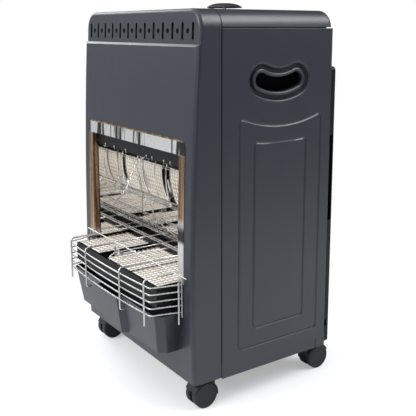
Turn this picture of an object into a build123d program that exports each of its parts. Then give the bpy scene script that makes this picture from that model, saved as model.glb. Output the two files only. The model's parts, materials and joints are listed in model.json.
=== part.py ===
"""Mobile cabinet heater for bottled propane: a sheet-steel cabinet on four casters.

Millimetres, +Z up, +X to the viewer's right, the front faces -Y.
The origin is on the floor, in the middle of the heater's overall box.
Heights are measured from the floor, depths from the front seam unless a name says otherwise.
"""
from build123d import *
import math
import os

# ---- cabinet: driving sizes ----------------------------------------------
overall_height = 730.0
cabinet_width = 440.0
side_depth = 258.0          # front seam to the rear edge of the side panels
floor_gap = 60.0            # floor to the underside of the cabinet
sheet = 1.0                 # steel sheet of every cabinet panel
shoulder_radius = 33.0      # where the sides turn into the top
seat = 0.3                  # gap between pieces that sit on each other
flange = 14.0               # folded edges of the panels
seam_gap = 1.2              # dark line between front shell and side panels
lid_gap = 2.0               # dark line between lid and side panels
fold_radius = 2.0           # outer bend of the folded edges that show
panel_drop = 3.0            # the side panels hang this far below the front shell

# ---- front shell -----------------------------------------------------------
band_height = 60.0          # vent band, ledge to top
band_front = 45.0           # its reach in front of the seam
band_lean = 3.0             # how far the band leans back at the top
ledge_size = 4.0
bow_reach = 64.0            # reach of the bowed face at its fullest
bow_height = 210.0
bow_share = 0.72            # how much of the bow is left halfway up to the ledge
foot_front = 60.5           # reach of the face at its bottom edge
front_corner_radius = 8.0
band_edge_radius = 7.0
slot_pitch = 33.0
slot_width = 5.0
slot_height = 30.0
slot_margin = 19.0          # least distance from the last slot to the side
vent_hole_radius = 4.0
vent_drop = 37.5            # slot centres, down from the top

# ---- side panels -------------------------------------------------------------
bead_width = 5.0
bead_depth = 1.6
frame_front = 39.0          # outer pressed frame
frame_rear = 232.0
frame_bottom = 103.0
frame_drop = 56.0           # top of the outer frame, down from the hand hole
frame_sag = 19.0
field_inset_front = 34.0    # inner field, in from the outer frame
field_inset_rear = 37.0
field_inset_bottom = 36.0
field_inset_top = 46.0
field_sag = 4.0
frame_corner = 7.0
hand_middle = 130.0         # hand hole, its middle behind the seam
hand_drop = 133.0           # hand hole, down from the top
hand_half_chord = 41.0
hand_bow = 9.0
hand_hole = 27.0
hand_lip = 40.0
hand_dish = 65.0
hand_dish_floor = 52.0
hand_dish_depth = 9.0
foot_tab_width = 13.0
foot_tab_height = 14.0
foot_tab_middle = 240.0
foot_tab_proud = 1.2

# ---- cylinder floor ------------------------------------------------------------
platform_half = 152.0       # raised floor under the gas cylinder
platform_margin = 14.0      # to the bulkhead and to the rear edge
platform_corner = 24.0
platform_rise = 3.0

# ---- rear --------------------------------------------------------------------
cover_drop = 105.0          # top of the rear cover, down from the top of the cabinet
cover_rim = 10.0
cover_bulge = 34.0
cover_bulge_half_width = 148.0
cover_bulge_margin_low = 23.0
cover_bulge_margin_high = 65.0
cover_bulge_corner = 40.0
cover_sheet = 1.2
cover_slope = 22.0
cover_notch_low = 322.0     # the rim is cut away between these heights
cover_notch_high = 492.0
louvre_count = 7
louvre_length = 180.0
louvre_width = 6.0
louvre_pitch = 16.0
louvre_drop = 70.0          # first louvre, down from the top of the bulge
stud_radius = 3.0

# ---- burner ------------------------------------------------------------------
trim_half_width = 193.0
trim_top = 506.0
trim_foot = 2.0             # its lower end, above the plaques
trim_rail = 19.0            # width of the upright rails
trim_head = 27.0            # height of the top rail
trim_sheet = 0.8
trim_return = 14.0
trim_corner = 15.0
opening_corner = 4.0        # of the cut-out in the shell
opening_drop = 47.0         # foot of the cut-out, down from the plaques
plaque_top = 245.0
plaque_front = 104.0        # in front of the seam
burner_width = 99.0
burner_depth = 120.0
burner_height = 24.0
burner_rim = 2.0
plaque_thickness = 12.0
burner_gap = 3.0            # between the middle and right burners
pilot_band = 36.0           # between the left and middle burners
mesh_wire = 1.0
mesh_pitch = 10.6
tray_wall = 1.2
tray_drop = 40.0            # lower edge of the burner tray, down from the plaques
bulkhead_back = 78.0        # behind the seam
bulkhead_drop = 75.0        # its top edge, down from the top of the cabinet
bulkhead_slot_length = 60.0
bulkhead_slot_width = 8.0
bulkhead_slot_pitch = 75.0
bulkhead_slot_drop = 28.0
bulkhead_slot_step = 22.0
manifold_side = 12.0
injector_radius = 4.5
mixing_radius = 11.0
reflector_sheet = 0.8
reflector_foot = 56.0       # lower edge of the mirror, behind the seam
reflector_back = 57.0       # its reach halfway up
reflector_brow = 26.0       # upper edge, in front of the seam
reflector_rise = 118.0      # halfway up, above the plaques

# ---- lower housing -------------------------------------------------------------
housing_drop = 55.0         # its rim, down from the plaques
housing_height = 77.0
housing_half_top = 180.0
housing_half_bottom = 170.0
housing_front_top = 112.0
housing_front_bottom = 101.0
housing_corner = 14.0
block_half = 38.0
block_chamfer = 10.0

# ---- guard ---------------------------------------------------------------------
hoop_count = 5
hoop_pitch = 13.0
hoop_lift = 1.0             # top hoop, above the plaques
hoop_wire = 2.6
hanger_wire = 2.4
rod_wire = 3.4
guard_side_gap = 0.8        # front corners of the hoops, out from the burner tray
guard_flare = 15.0          # how much wider the hoops are at the rear
guard_corner_front = 122.0
guard_bow = 8.0
guard_rear = 66.0
rod_end = 53.0              # rear ends of the bent-back rods, behind the seam
cross_wires = (8.0, 15.0, 44.0, 51.0)
grid_lift = 13.0            # bent-back rods, above the plaques
rod_drop = 69.0             # lower ends of the upright rods, down from the plaques
rod_places = (74.0, 158.0)
rod_curl = 11.0
stay_wire = 2.8
stay_upper_reach = 27.0     # first bend of the centre stay, in front of the seam
stay_lower_reach = 21.0     # second bend
stay_foot = 44.0            # its foot, behind the seam
stay_upper_share = 0.62     # heights of the bends, as shares of the stay's height
stay_lower_share = 0.31
stay_upper_bend = 60.0
stay_lower_bend = 120.0

# ---- controls --------------------------------------------------------------------
knob_x = 118.0
knob_back = 78.0
knob_radius = 20.0
knob_lift = 4.0             # underside of the knob above the lid
knob_height = 8.5
press_travel = 2.5
button_spacing = 43.0
button_radius = 4.6
button_travel = 3.5
button_rise = 11.0          # top of the button above the lid
bezel_thickness = 1.2
stem_radius = 3.0
plunger_radius = 4.0
running = 0.08              # radial clearance of shafts
valve_drop = 32.0           # top of the valve body, down from the top of the cabinet
valve_height = 32.0
nozzle_radius = 4.5
nozzle_length = 20.0
tube_radius = 3.0

# ---- casters ---------------------------------------------------------------------
wheel_radius = 25.0
wheel_width = 13.0
web_half = 4.0
wheel_side_gap = 0.5
wheel_clearance = 0.6       # tread to hood
hood_sheet = 1.2
caster_inset = 31.5         # pivots, in from the sides
caster_front = -4.0         # pivots, behind the seam
caster_rear = 237.0
trail = 20.0
king_radius = 4.0
axle_radius = 2.5
plate_side = 40.0
plate_thickness = 2.5
boss_height = 5.0

# ---- derived places ------------------------------------------------------------
half = cabinet_width / 2
caster_x = half - caster_inset
shoulder = overall_height - shoulder_radius
vent_middle = overall_height - vent_drop
hand_height = overall_height - hand_drop
frame_top = hand_height - frame_drop
field_bottom = frame_bottom + field_inset_bottom
field_top = frame_top - field_inset_top
cover_top = overall_height - cover_drop
cover_bulge_bottom = floor_gap + 1.0 + cover_bulge_margin_low
cover_bulge_top = cover_top - cover_bulge_margin_high
bulkhead_top = overall_height - bulkhead_drop
front_reach = guard_corner_front + guard_bow + hoop_wire / 2 + rod_wire
rear_reach = side_depth + seat + cover_rim + cover_bulge
seam_y = (front_reach - rear_reach) / 2
rear_y = seam_y + side_depth
inner_half = half - sheet
tray_half = inner_half - seat
tray_edge = 22.0
flange_bottom = floor_gap + tray_edge + 1.5
ledge_z = overall_height - band_height
burner_half = (3 * burner_width + pilot_band + burner_gap) / 2
burner_places = {
    "left": -burner_half + burner_width / 2,
    "middle": burner_half - burner_gap - 1.5 * burner_width,
    "right": burner_half - burner_width / 2,
}
trim_bottom = plaque_top + trim_foot
burner_opening_bottom = plaque_top - opening_drop
tray_bottom = plaque_top - tray_drop
housing_top = plaque_top - housing_drop
housing_bottom = housing_top - housing_height
hoop_top = plaque_top + hoop_lift
grid_height = plaque_top + grid_lift
rod_bottom = plaque_top - rod_drop
burner_top = plaque_top - 1.0
burner_bottom = burner_top - burner_height
tray_inner_half = burner_half + 2.0
guard_half_front = tray_inner_half + tray_wall + guard_side_gap
guard_half_rear = guard_half_front + guard_flare
bulkhead_y = seam_y + bulkhead_back
manifold_y = bulkhead_y - seat - manifold_side / 2
manifold_z = burner_bottom + burner_height / 2 - 1.0
knob_y = seam_y + knob_back
knob_bottom = overall_height + knob_lift
knob_top = knob_bottom + knob_height
button_top = overall_height + button_rise
valve_top = overall_height - valve_drop
valve_bottom = valve_top - valve_height
tube_x = knob_x - 36.0
baffle_y = seam_y - bow_reach + trim_return + 1.5
opening_half = trim_half_width - trim_rail
opening_top = trim_top - trim_head


# ---- helpers ---------------------------------------------------------------------
def level(height):
    """Plan plane at a height."""
    return Plane.XY.offset(height)


def front_plane(y):
    """Upright plane across the heater, sketch x is X and sketch y is Z, normal towards the front."""
    return Plane.XZ.offset(-y)


def side_plane(x):
    """Upright plane along the heater, sketch x is Y and sketch y is Z, normal towards +X."""
    return Plane.YZ.offset(x)


def block(x, y, z):
    """Box between three pairs of coordinates."""
    size = Box(x[1] - x[0], y[1] - y[0], z[1] - z[0], align=(Align.MIN, Align.MIN, Align.MIN))
    return Pos(x[0], y[0], z[0]) * size


def rod_upright(x, y, low, high, radius):
    """Round bar along Z."""
    return Pos(x, y, low) * Cylinder(radius, high - low, align=(Align.CENTER, Align.CENTER, Align.MIN))


def bar_along_x(x, y, z, radius):
    """Round bar along X between two x coordinates."""
    return Pos((x[0] + x[1]) / 2, y, z) * Rot(0, 90, 0) * Cylinder(radius, x[1] - x[0])


def bar_along_y(x, y, z, radius):
    """Round bar along Y between two y coordinates."""
    return Pos(x, (y[0] + y[1]) / 2, z) * Rot(90, 0, 0) * Cylinder(radius, y[1] - y[0])


def bent_wire(points, radius, wire):
    """Round wire of one diameter along straight runs with rounded bends."""
    path = FilletPolyline(*points, radius=radius)
    section = Plane(origin=path @ 0, z_dir=path % 0) * Circle(wire / 2)
    return sweep(section, path=path)


def bend_upright(y, inward, low, high):
    """What the bend radius takes off the right side's upright edge at y; the sheet lies inward of it."""
    r = fold_radius
    corner = block((half - r, half + 0.5), sorted((y - inward * 0.5, y + inward * r)), (low, high))
    return corner - rod_upright(half - r, y + inward * r, low - 1, high + 1, r)


def bend_under_lid(y0, y1):
    """What the bend radius takes off the right side's top edge."""
    r = fold_radius
    corner = block((half - r, half + 0.5), (y0 - 0.5, y1 + 0.5), (shoulder - r, shoulder + 0.5))
    return corner - bar_along_y(half - r, (y0 - 1, y1 + 1), shoulder - r, r)


def mirrored(part):
    """The same piece on the other side of the heater."""
    return mirror(part, about=Plane.YZ)


def solids_of(*parts):
    """One compound of separate solids."""
    found = []
    for part in parts:
        found.extend(part.solids())
    return Compound(children=found)


# ---- front shell -------------------------------------------------------------------
def shell_form(inset, spare=0.0):
    """Solid the front shell wraps, moved in by inset: bowed face, ledge, leaning band, round shoulders.

    A spare length carries it on below the floor pan and behind the seam.
    """
    low = floor_gap - spare
    back = seam_y + spare
    high = overall_height - inset
    width = cabinet_width - 2 * inset
    # bowed face with round corners
    belly_y = seam_y - bow_reach + inset
    brow = (seam_y - band_front - ledge_size + inset, ledge_z - inset)
    brow_height = brow[1] - bow_height
    foot = (belly_y + (bow_reach - foot_front) * ((bow_height - low) / (bow_height - floor_gap)) ** 2, low)
    shin = (belly_y + (foot[0] - belly_y) / 4, (bow_height + low) / 2)
    chest = (belly_y + (brow[0] - belly_y) * (1 - bow_share), bow_height + brow_height / 2)
    belly = (belly_y, bow_height)
    outline = ThreePointArc(foot, shin, belly) + ThreePointArc(belly, chest, brow)
    outline += Polyline(brow, (back, ledge_z - inset), (back, low), foot)
    body = extrude(side_plane(-width / 2) * make_face(outline), width)
    corners = [e for e in body.edges() if e.center().Y < seam_y - 30 and e.bounding_box().size.Z > 100]
    body = fillet(corners, front_corner_radius - inset)
    # the ledge slopes at 45 degrees
    edge_y = seam_y - band_front + inset * math.sqrt(2)
    wedge = make_face(Polyline((edge_y, ledge_z), (edge_y - 30, ledge_z - 30), (edge_y - 30, ledge_z),
                               (edge_y, ledge_z)))
    body -= extrude(side_plane(-half - 5) * wedge, cabinet_width + 10)
    # band above it, leaning back
    band_y = seam_y - band_front + inset
    lean = band_lean / band_height
    tuck = 10.0
    under = ledge_z - tuck
    outline = Polyline((band_y - tuck * lean, under), (band_y + (high - ledge_z) * lean, high),
                       (back, high), (back, under), (band_y - tuck * lean, under))
    band = extrude(side_plane(-width / 2) * make_face(outline), width)
    arch = Pos(0, (high + low) / 2) * Rectangle(width, high - low)
    arch = fillet(arch.vertices().group_by(Axis.Y)[-1], shoulder_radius - inset)
    band &= extrude(front_plane(back + 1) * arch, 200)
    band_face = [f for f in band.faces() if f.normal_at().Y < -0.9][0]
    rim = [e for e in band_face.edges() if e.center().Z > under + 1]
    band = fillet(rim, band_edge_radius - inset / 2)
    return body + band


def front_shell():
    """Pressed front: vent band with slots and holes, ledge, bowed face with the burner cut-out."""
    shell = shell_form(0) - shell_form(sheet, 5)
    cut_half = opening_half + trim_sheet + seat
    cut_top = opening_top + trim_sheet + seat
    cut_height = cut_top - burner_opening_bottom
    cut = Pos(0, cut_top - cut_height / 2) * Rectangle(2 * cut_half, cut_height)
    cut = fillet(cut.vertices(), opening_corner + seat)
    vents = []
    slots = int((cabinet_width - 2 * slot_margin) / slot_pitch) + 1
    for i in range(slots):
        x = (i - (slots - 1) / 2) * slot_pitch
        vents.append(Pos(x, vent_middle) * SlotOverall(slot_height, slot_width, rotation=90))
        if i + 1 < slots:
            vents.append(Pos(x + slot_pitch / 2, vent_middle) * Circle(vent_hole_radius))
    reach = front_plane(seam_y - 30)
    shell -= extrude(reach * cut, 60)
    shell -= extrude(reach * Sketch(children=vents), 60)
    fold = block((inner_half - flange, inner_half + sheet / 2), (seam_y - sheet, seam_y),
                 (flange_bottom, shoulder))
    bend = bend_upright(seam_y, -1, flange_bottom, shoulder)
    return shell + fold + mirrored(fold) - bend - mirrored(bend)


# ---- side panels --------------------------------------------------------------------
def frame_face(front, rear, bottom, top, sag):
    """Upright rectangle in the side plane with a top edge that sags in the middle and soft corners."""
    y0 = seam_y + front
    y1 = seam_y + rear
    top_arc = ThreePointArc((y1, top), ((y0 + y1) / 2, top - sag), (y0, top))
    face = make_face(Polyline((y0, top), (y0, bottom), (y1, bottom), (y1, top)) + top_arc)
    return fillet(face.vertices(), frame_corner)


def pressed_bead(face, x, width, depth):
    """V-shaped bead along the outline of a face in the plane x, pointing inwards (-X)."""
    path = (side_plane(x) * face).face().outer_wire()
    start = Plane(origin=path @ 0, z_dir=path % 0, x_dir=(1, 0, 0))
    tooth = make_face(Polyline((0.2, -width / 2), (0.2, width / 2), (0, width / 2), (-depth, 0),
                               (0, -width / 2), (0.2, -width / 2)))
    return sweep(start * tooth, path=path)


def hand_slot(height):
    """Slot along a sagging arc, in the side plane."""
    middle = seam_y + hand_middle
    arc = ThreePointArc((middle - hand_half_chord, hand_height + hand_bow), (middle, hand_height),
                        (middle + hand_half_chord, hand_height + hand_bow))
    return SlotArc(arc, height)


def side_panel_right():
    """Side panel with pressed frames, a dished hand hole and folded front, rear and top edges."""
    x = half
    y0 = seam_y + seam_gap
    panel = block((x - sheet, x), (y0, rear_y), (floor_gap - panel_drop, shoulder))
    panel += block((x - sheet - flange, x), (y0, y0 + sheet), (flange_bottom, shoulder))
    panel += block((x - sheet - flange, x), (rear_y - sheet, rear_y), (flange_bottom, shoulder))
    panel += block((x - 5.0, x), (y0, rear_y), (shoulder - sheet, shoulder))
    tongue_top = shoulder + math.sqrt((shoulder_radius - sheet) ** 2 - (shoulder_radius - 4.0) ** 2) - seat
    panel += block((x - 5.0, x - 4.0), (y0 + 2, rear_y - 14), (shoulder - sheet, tongue_top))
    panel -= bend_upright(y0, 1, flange_bottom, shoulder)
    panel -= bend_upright(rear_y, -1, flange_bottom, shoulder)
    panel -= bend_under_lid(y0, rear_y)
    outer_frame = frame_face(frame_front, frame_rear, frame_bottom, frame_top, frame_sag)
    inner_frame = frame_face(frame_front + field_inset_front, frame_rear - field_inset_rear,
                             field_bottom, field_top, field_sag)
    for face in (outer_frame, inner_frame):
        panel += pressed_bead(face, x - sheet, bead_width + 1.0, bead_depth)
    for face in (outer_frame, inner_frame):
        panel -= pressed_bead(face, x, bead_width, bead_depth)
    dish = loft([side_plane(x + 0.01) * hand_slot(hand_dish),
                 side_plane(x - hand_dish_depth) * hand_slot(hand_dish_floor)], ruled=True)
    pan = loft([side_plane(x - sheet / 2) * hand_slot(hand_dish + 2 * sheet),
                side_plane(x - hand_dish_depth - sheet) * hand_slot(hand_dish_floor + 2 * sheet)], ruled=True)
    lip = extrude(side_plane(x - hand_dish_depth - 0.1) * hand_slot(hand_lip), 5.0)
    lip = fillet(lip.edges().filter_by_position(Axis.X, x - 6, x), 1.8)
    hole = extrude(side_plane(x - 30) * hand_slot(hand_hole), 40)
    panel = panel + pan - dish + lip - hole
    tab_y = seam_y + foot_tab_middle
    tab = block((x - 0.1, x + foot_tab_proud), (tab_y - foot_tab_width / 2, tab_y + foot_tab_width / 2),
                (floor_gap - panel_drop, floor_gap + foot_tab_height))
    tab = fillet(tab.edges().group_by(Axis.X)[-1], 0.8)
    return panel + tab


# ---- top cover ------------------------------------------------------------------------
def arch_form(inset, low, y0, y1):
    """Solid under the round-shouldered top, between two depths."""
    width = cabinet_width - 2 * inset
    high = overall_height - inset
    arch = Pos(0, high - 50) * Rectangle(width, 100)
    arch = fillet(arch.vertices().group_by(Axis.Y)[-1], shoulder_radius - inset)
    arch &= Pos(0, (low + high + 10) / 2) * Rectangle(width + 10, high + 10 - low)
    return extrude(front_plane(y1) * arch, y1 - y0)


def top_cover():
    """Lid: round shoulders, rounded rear end, holes for the valve stem and the igniter."""
    low = shoulder + lid_gap
    round_end = 10.0
    outer = arch_form(0, low, seam_y + seat, rear_y)
    rim = [e for e in outer.edges() if e.center().Y > rear_y - 0.1 and e.center().Z > low + 1]
    outer = fillet(rim, round_end)
    inner = arch_form(sheet, low - 5, seam_y - 5, rear_y - sheet)
    rim = [e for e in inner.edges() if e.center().Y > rear_y - sheet - 0.1 and e.center().Z > low + 1]
    lid = outer - fillet(rim, round_end - sheet)
    lid -= rod_upright(knob_x, knob_y, low, overall_height + 5, stem_radius + 2)
    lid -= rod_upright(knob_x - button_spacing, knob_y, low, overall_height + 5, button_radius + 1.2)
    return lid


# ---- base and rear ----------------------------------------------------------------------
def base_tray():
    """Floor pan with turned-up edges and the raised platform that the gas cylinder stands on."""
    y0 = seam_y - foot_front + sheet + seat
    y1 = rear_y - sheet - seat
    tray = block((-tray_half, tray_half), (y0, y1), (floor_gap, floor_gap + tray_edge))
    tray = fillet(tray.edges().filter_by(Axis.Z).group_by(Axis.Y)[0], front_corner_radius)
    hollow = block((-tray_half + sheet, tray_half - sheet), (y0 + sheet, y1 - sheet),
                   (floor_gap + sheet, floor_gap + tray_edge + 1))
    tray -= fillet(hollow.edges().filter_by(Axis.Z).group_by(Axis.Y)[0], front_corner_radius - sheet)
    depth = y1 - bulkhead_y - 2 * platform_margin
    platform = Pos(0, (bulkhead_y + y1) / 2) * RectangleRounded(2 * platform_half, depth, platform_corner)
    tray += extrude(level(floor_gap + sheet) * platform, platform_rise, taper=30)
    for x in (-platform_half / 2, 0, platform_half / 2):
        drain = Pos(x, (bulkhead_y + y1) / 2) * SlotOverall(depth / 2, 2 * platform_rise, rotation=90)
        tray -= extrude(level(floor_gap - 1) * drain, platform_rise + 10)
    return tray


def bulkhead():
    """Upright sheet between the burner and the cylinder bay, with side folds and vent slots."""
    reach = inner_half - bead_depth - seat
    low = floor_gap + sheet + seat
    wall = block((-reach, reach), (bulkhead_y, bulkhead_y + sheet), (low, bulkhead_top))
    fold = block((reach - sheet, reach), (bulkhead_y, bulkhead_y + 18), (low, bulkhead_top))
    slot = SlotOverall(bulkhead_slot_length, bulkhead_slot_width)
    row = bulkhead_top - bulkhead_slot_drop
    vents = [Pos(i * bulkhead_slot_pitch, row) * slot for i in (-2, -1, 0, 1, 2)]
    vents += [Pos(i * bulkhead_slot_pitch, row - bulkhead_slot_step) * slot for i in (-1.5, -0.5, 0.5, 1.5)]
    wall -= extrude(front_plane(bulkhead_y + 5) * Sketch(children=vents), 10)
    notch = block((inner_half - hand_dish_depth - 8, half), (bulkhead_y - 1, bulkhead_y + 30),
                  (hand_height - hand_dish / 2 - 12, bulkhead_top + 1))
    return wall + fold + mirrored(fold) - notch - mirrored(notch)


def rear_cover():
    """Lift-off rear cover: shallow pan with a bulge for the cylinder, louvres and a stepped rim."""
    y0 = rear_y + seat
    y1 = y0 + cover_rim
    edge = half - 1.0
    low = floor_gap + 1.0
    wall = cover_sheet
    pan = Pos(0, (low + cover_top) / 2) * Rectangle(2 * edge, cover_top - low)
    pan = fillet(pan.vertices(), 8)
    inner = offset(pan, -wall, kind=Kind.ARC)
    form = extrude(front_plane(y1) * pan, cover_rim)
    hollow = extrude(front_plane(y1 - wall) * inner, cover_rim)
    bulge_low = Pos(0, (cover_bulge_bottom + cover_bulge_top) / 2) * RectangleRounded(
        2 * cover_bulge_half_width, cover_bulge_top - cover_bulge_bottom, cover_bulge_corner)
    bulge_high = offset(bulge_low, -cover_slope, kind=Kind.ARC)
    bulge = loft([front_plane(y1 - 0.01) * bulge_low, front_plane(y1 + cover_bulge) * bulge_high], ruled=True)
    inner_low = offset(bulge_low, -wall, kind=Kind.ARC)
    inner_high = offset(bulge_high, -wall, kind=Kind.ARC)
    bulge_in = loft([front_plane(y1 - wall - 0.01) * inner_low,
                     front_plane(y1 + cover_bulge - wall) * inner_high], ruled=True)
    cover = form + bulge - hollow - bulge_in
    for side in (-1, 1):
        cover -= block(sorted((side * (edge - 20), side * (edge + 5))), (y0 - 1, y1 - wall - 0.1),
                       (cover_notch_low, cover_notch_high))
        cover -= block(sorted((side * (edge - 3), side * (edge + 5))), (y0 - 1, y0 + 5), (97, 111))
    for i in range(louvre_count):
        height = cover_bulge_top - louvre_drop - i * louvre_pitch
        louvre = Pos(0, height) * SlotOverall(louvre_length, louvre_width)
        cover -= extrude(front_plane(y1 + cover_bulge + 1) * louvre, 6)
    return cover


def rear_cover_studs():
    """Four spring studs that push into holes in the rear flanges; here they end on the flange."""
    studs = []
    y0 = rear_y + seat
    for x in (-1, 1):
        for z in (cover_top - 45, floor_gap + 60):
            depth = (y0 - seat + 0.1, y0 + cover_rim - 1.3)
            studs.append(bar_along_y(x * (half - 9), depth, z, stud_radius))
    return solids_of(*studs)


# ---- burner opening ----------------------------------------------------------------------
def opening_trim():
    """Polished trim on the bowed face: top rail, two uprights and a return into the opening."""
    middle = (trim_top + trim_bottom) / 2
    outer = Pos(0, middle) * Rectangle(2 * trim_half_width, trim_top - trim_bottom)
    outer = fillet(outer.vertices().group_by(Axis.Y)[-1], trim_corner)
    deep = opening_top - trim_bottom + trim_head
    inner = Pos(0, opening_top - deep / 2) * Rectangle(2 * opening_half, deep)
    inner = fillet(inner.vertices().group_by(Axis.Y)[-1], opening_corner - trim_sheet)
    tall = opening_top + trim_sheet - trim_bottom
    liner = Pos(0, trim_bottom + tall / 2) * Rectangle(2 * (opening_half + trim_sheet), tall)
    liner = fillet(liner.vertices().group_by(Axis.Y)[-1], opening_corner)
    skin = shell_form(-trim_sheet)
    face = (extrude(front_plane(seam_y - 20) * (outer - inner), 80) & skin) - shell_form(0)
    sleeve = extrude(front_plane(seam_y - bow_reach + trim_return) * (liner - inner), 40) & skin
    return face + sleeve


def tube_passage():
    """Upright bore that lets the supply tube through the sheets behind the reflector."""
    return rod_upright(tube_x, manifold_y, manifold_z, ledge_z, tube_radius + 1.5)


def reflector_curve(y_shift, z_shift):
    """Concave back of the burner: from behind the plaques, back, and forward to the head."""
    foot = (seam_y + reflector_foot + y_shift, plaque_top + 4 - z_shift)
    back = (seam_y + reflector_back + y_shift, plaque_top + reflector_rise)
    head = (seam_y - reflector_brow + y_shift, opening_top - 6 + z_shift)
    return ThreePointArc(foot, back, head)


def reflector():
    """Polished concave sheet behind the plaques."""
    width = 2 * (opening_half - 3 * reflector_sheet)
    inner = reflector_curve(0, 0)
    outer = reflector_curve(reflector_sheet, 0)
    outline = inner + Line(inner @ 1, outer @ 1) + outer + Line(outer @ 0, inner @ 0)
    sheet_part = extrude(side_plane(-width / 2) * make_face(outline), width)
    lip = block((-width / 2, width / 2), (seam_y + reflector_foot, bulkhead_y - seat),
                (plaque_top + 3.2, plaque_top + 4))
    return sheet_part + lip - tube_passage()


def reflector_cheek():
    """Flat polished plate that closes one side of the burner opening."""
    x = opening_half - reflector_sheet - 0.4
    curve = reflector_curve(-0.3, 0)
    front = baffle_y
    outline = curve + Polyline(curve @ 1, (front, opening_top - 6), (front, plaque_top + 4), curve @ 0)
    plate = extrude(side_plane(x) * make_face(outline), reflector_sheet)
    ear = block((x, x + reflector_sheet), (seam_y + reflector_foot - 1, bulkhead_y - seat),
                (plaque_top + 4, plaque_top + 30))
    return plate + ear


def heat_baffle():
    """Dark strip behind the top rail that carries the head of the reflector."""
    y0 = baffle_y
    across = (-opening_half + 4, opening_half - 4)
    strip = block(across, (y0, y0 + 1), (opening_top - 26, opening_top - 2))
    shelf = block(across, (y0, seam_y - 22), (opening_top - 2, opening_top - 1))
    hanger = block(across, (seam_y - 24, seam_y - 23), (opening_top - 2, opening_top + 40))
    tie = block(across, (seam_y - 24, bulkhead_y - seat), (opening_top + 39, opening_top + 40))
    return strip + shelf + hanger + tie - tube_passage()


# ---- lower housing ---------------------------------------------------------------------------
def housing_form(inset, low, high):
    """Tapered bowl with a proud middle block, moved in by inset, between two heights."""
    def plan(height):
        share = (height - housing_bottom) / (housing_top - housing_bottom)
        reach = housing_front_bottom + share * (housing_front_top - housing_front_bottom) - inset
        half_width = housing_half_bottom + share * (housing_half_top - housing_half_bottom) - inset
        y_face = seam_y - reach
        c = housing_corner
        b = block_half - inset * 0.4
        p = block_chamfer
        return make_face(Polyline(
            (-half_width, seam_y - 45), (-half_width, y_face + c), (-half_width + c * 0.7, y_face),
            (-b - p, y_face), (-b, y_face - p), (b, y_face - p), (b + p, y_face),
            (half_width - c * 0.7, y_face), (half_width, y_face + c), (half_width, seam_y - 45),
            (-half_width, seam_y - 45)))
    return loft([level(low) * plan(low), level(high) * plan(high)], ruled=True)


def burner_housing():
    """Painted bowl in front of the shell, under the burner, open at the top."""
    outer = housing_form(0, housing_bottom, housing_top)
    edges = [e for e in outer.edges() if e.bounding_box().size.Z > 50
             and abs(e.center().X) > housing_half_bottom - 25 and e.center().Y < seam_y - 70]
    outer = fillet(edges, 5)
    inner = housing_form(1.2, housing_bottom + 1.2, housing_top + 2)
    lip = housing_form(-1.0, housing_top - 3, housing_top)
    lip -= housing_form(1.2, housing_top - 4, housing_top + 2)
    return (outer - inner + lip) - shell_form(0)


# ---- burner ----------------------------------------------------------------------------------
def burner_tray():
    """Black frame that carries the burners: front apron, side walls, cross bars and a rear shelf."""
    front = seam_y - plaque_front - 2.0 - tray_wall
    high = burner_top - 1.0
    outer_half = tray_inner_half + tray_wall
    wall = block((tray_inner_half, outer_half), (front, bulkhead_y - seat), (tray_bottom, high))
    apron = block((-outer_half, outer_half), (front, front + tray_wall), (tray_bottom, high))
    tray = wall + mirrored(wall) + apron
    for y in (seam_y - plaque_front + 12, seam_y - 20):
        tray += block((-tray_inner_half - 0.5, tray_inner_half + 0.5), (y, y + 16),
                      (burner_bottom - seat - 3, burner_bottom - seat))
    bridge_x = (burner_places["left"] + burner_places["middle"]) / 2
    tray += block((bridge_x - 12, bridge_x + 12), (front, seam_y - 4),
                  (burner_bottom + 6, burner_bottom + 7.2))
    behind = seam_y - plaque_front + burner_depth + 0.5
    tray += block((-outer_half, outer_half), (behind, bulkhead_y - seat), (burner_top - 1.2, burner_top))
    return tray - tube_passage()


def burner_box(x):
    """Open pressed-steel box under one plaque, with the mixing tube that feeds it."""
    y0 = seam_y - plaque_front
    y1 = y0 + burner_depth
    w = burner_width / 2
    box = block((x - w, x + w), (y0, y1), (burner_bottom, burner_top))
    box = fillet(box.edges().filter_by(Axis.Z), 4)
    seat_pocket = block((x - w + burner_rim, x + w - burner_rim), (y0 + burner_rim, y1 - burner_rim),
                        (burner_top - plaque_thickness, burner_top + 1))
    chamber = block((x - w + 5, x + w - 5), (y0 + 5, y1 - 5), (burner_bottom + 1.2, burner_top))
    tube = bar_along_y(x, (y1 - 1.2, manifold_y - manifold_side / 2 - 6), manifold_z, mixing_radius)
    bore = bar_along_y(x, (y1 - 6, manifold_y), manifold_z, mixing_radius - 1.2)
    return box - seat_pocket - chamber + tube - bore


def ceramic_plaque(x):
    """Perforated ceramic plaque set into its burner box, a little proud of the rim."""
    y0 = seam_y - plaque_front
    w = burner_width / 2 - burner_rim - 0.2
    plaque = block((x - w, x + w), (y0 + burner_rim + 0.2, y0 + burner_depth - burner_rim - 0.2),
                   (burner_top - plaque_thickness, plaque_top))
    return chamfer(plaque.edges().group_by(Axis.Z)[-1], 0.8)


def plaque_mesh(x):
    """Square wire mesh that glows over one plaque: a layer of wires each way."""
    y0 = seam_y - plaque_front
    w = burner_width / 2 - 1.0
    d = burner_depth - 2.0
    across = int((burner_width - 4) / mesh_pitch)
    along = int((burner_depth - 4) / mesh_pitch)
    low = plaque_top + 0.2
    wires = []
    for i in range(across + 1):
        wx = x + (i - across / 2) * mesh_pitch
        wires.append(block((wx - mesh_wire / 2, wx + mesh_wire / 2), (y0 + 1, y0 + 1 + d),
                           (low, low + mesh_wire)))
    for j in range(along + 1):
        wy = y0 + burner_depth / 2 + (j - along / 2) * mesh_pitch
        wires.append(block((x - w, x + w), (wy - mesh_wire / 2, wy + mesh_wire / 2),
                           (low + mesh_wire, low + 2 * mesh_wire)))
    return solids_of(*wires)


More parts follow.
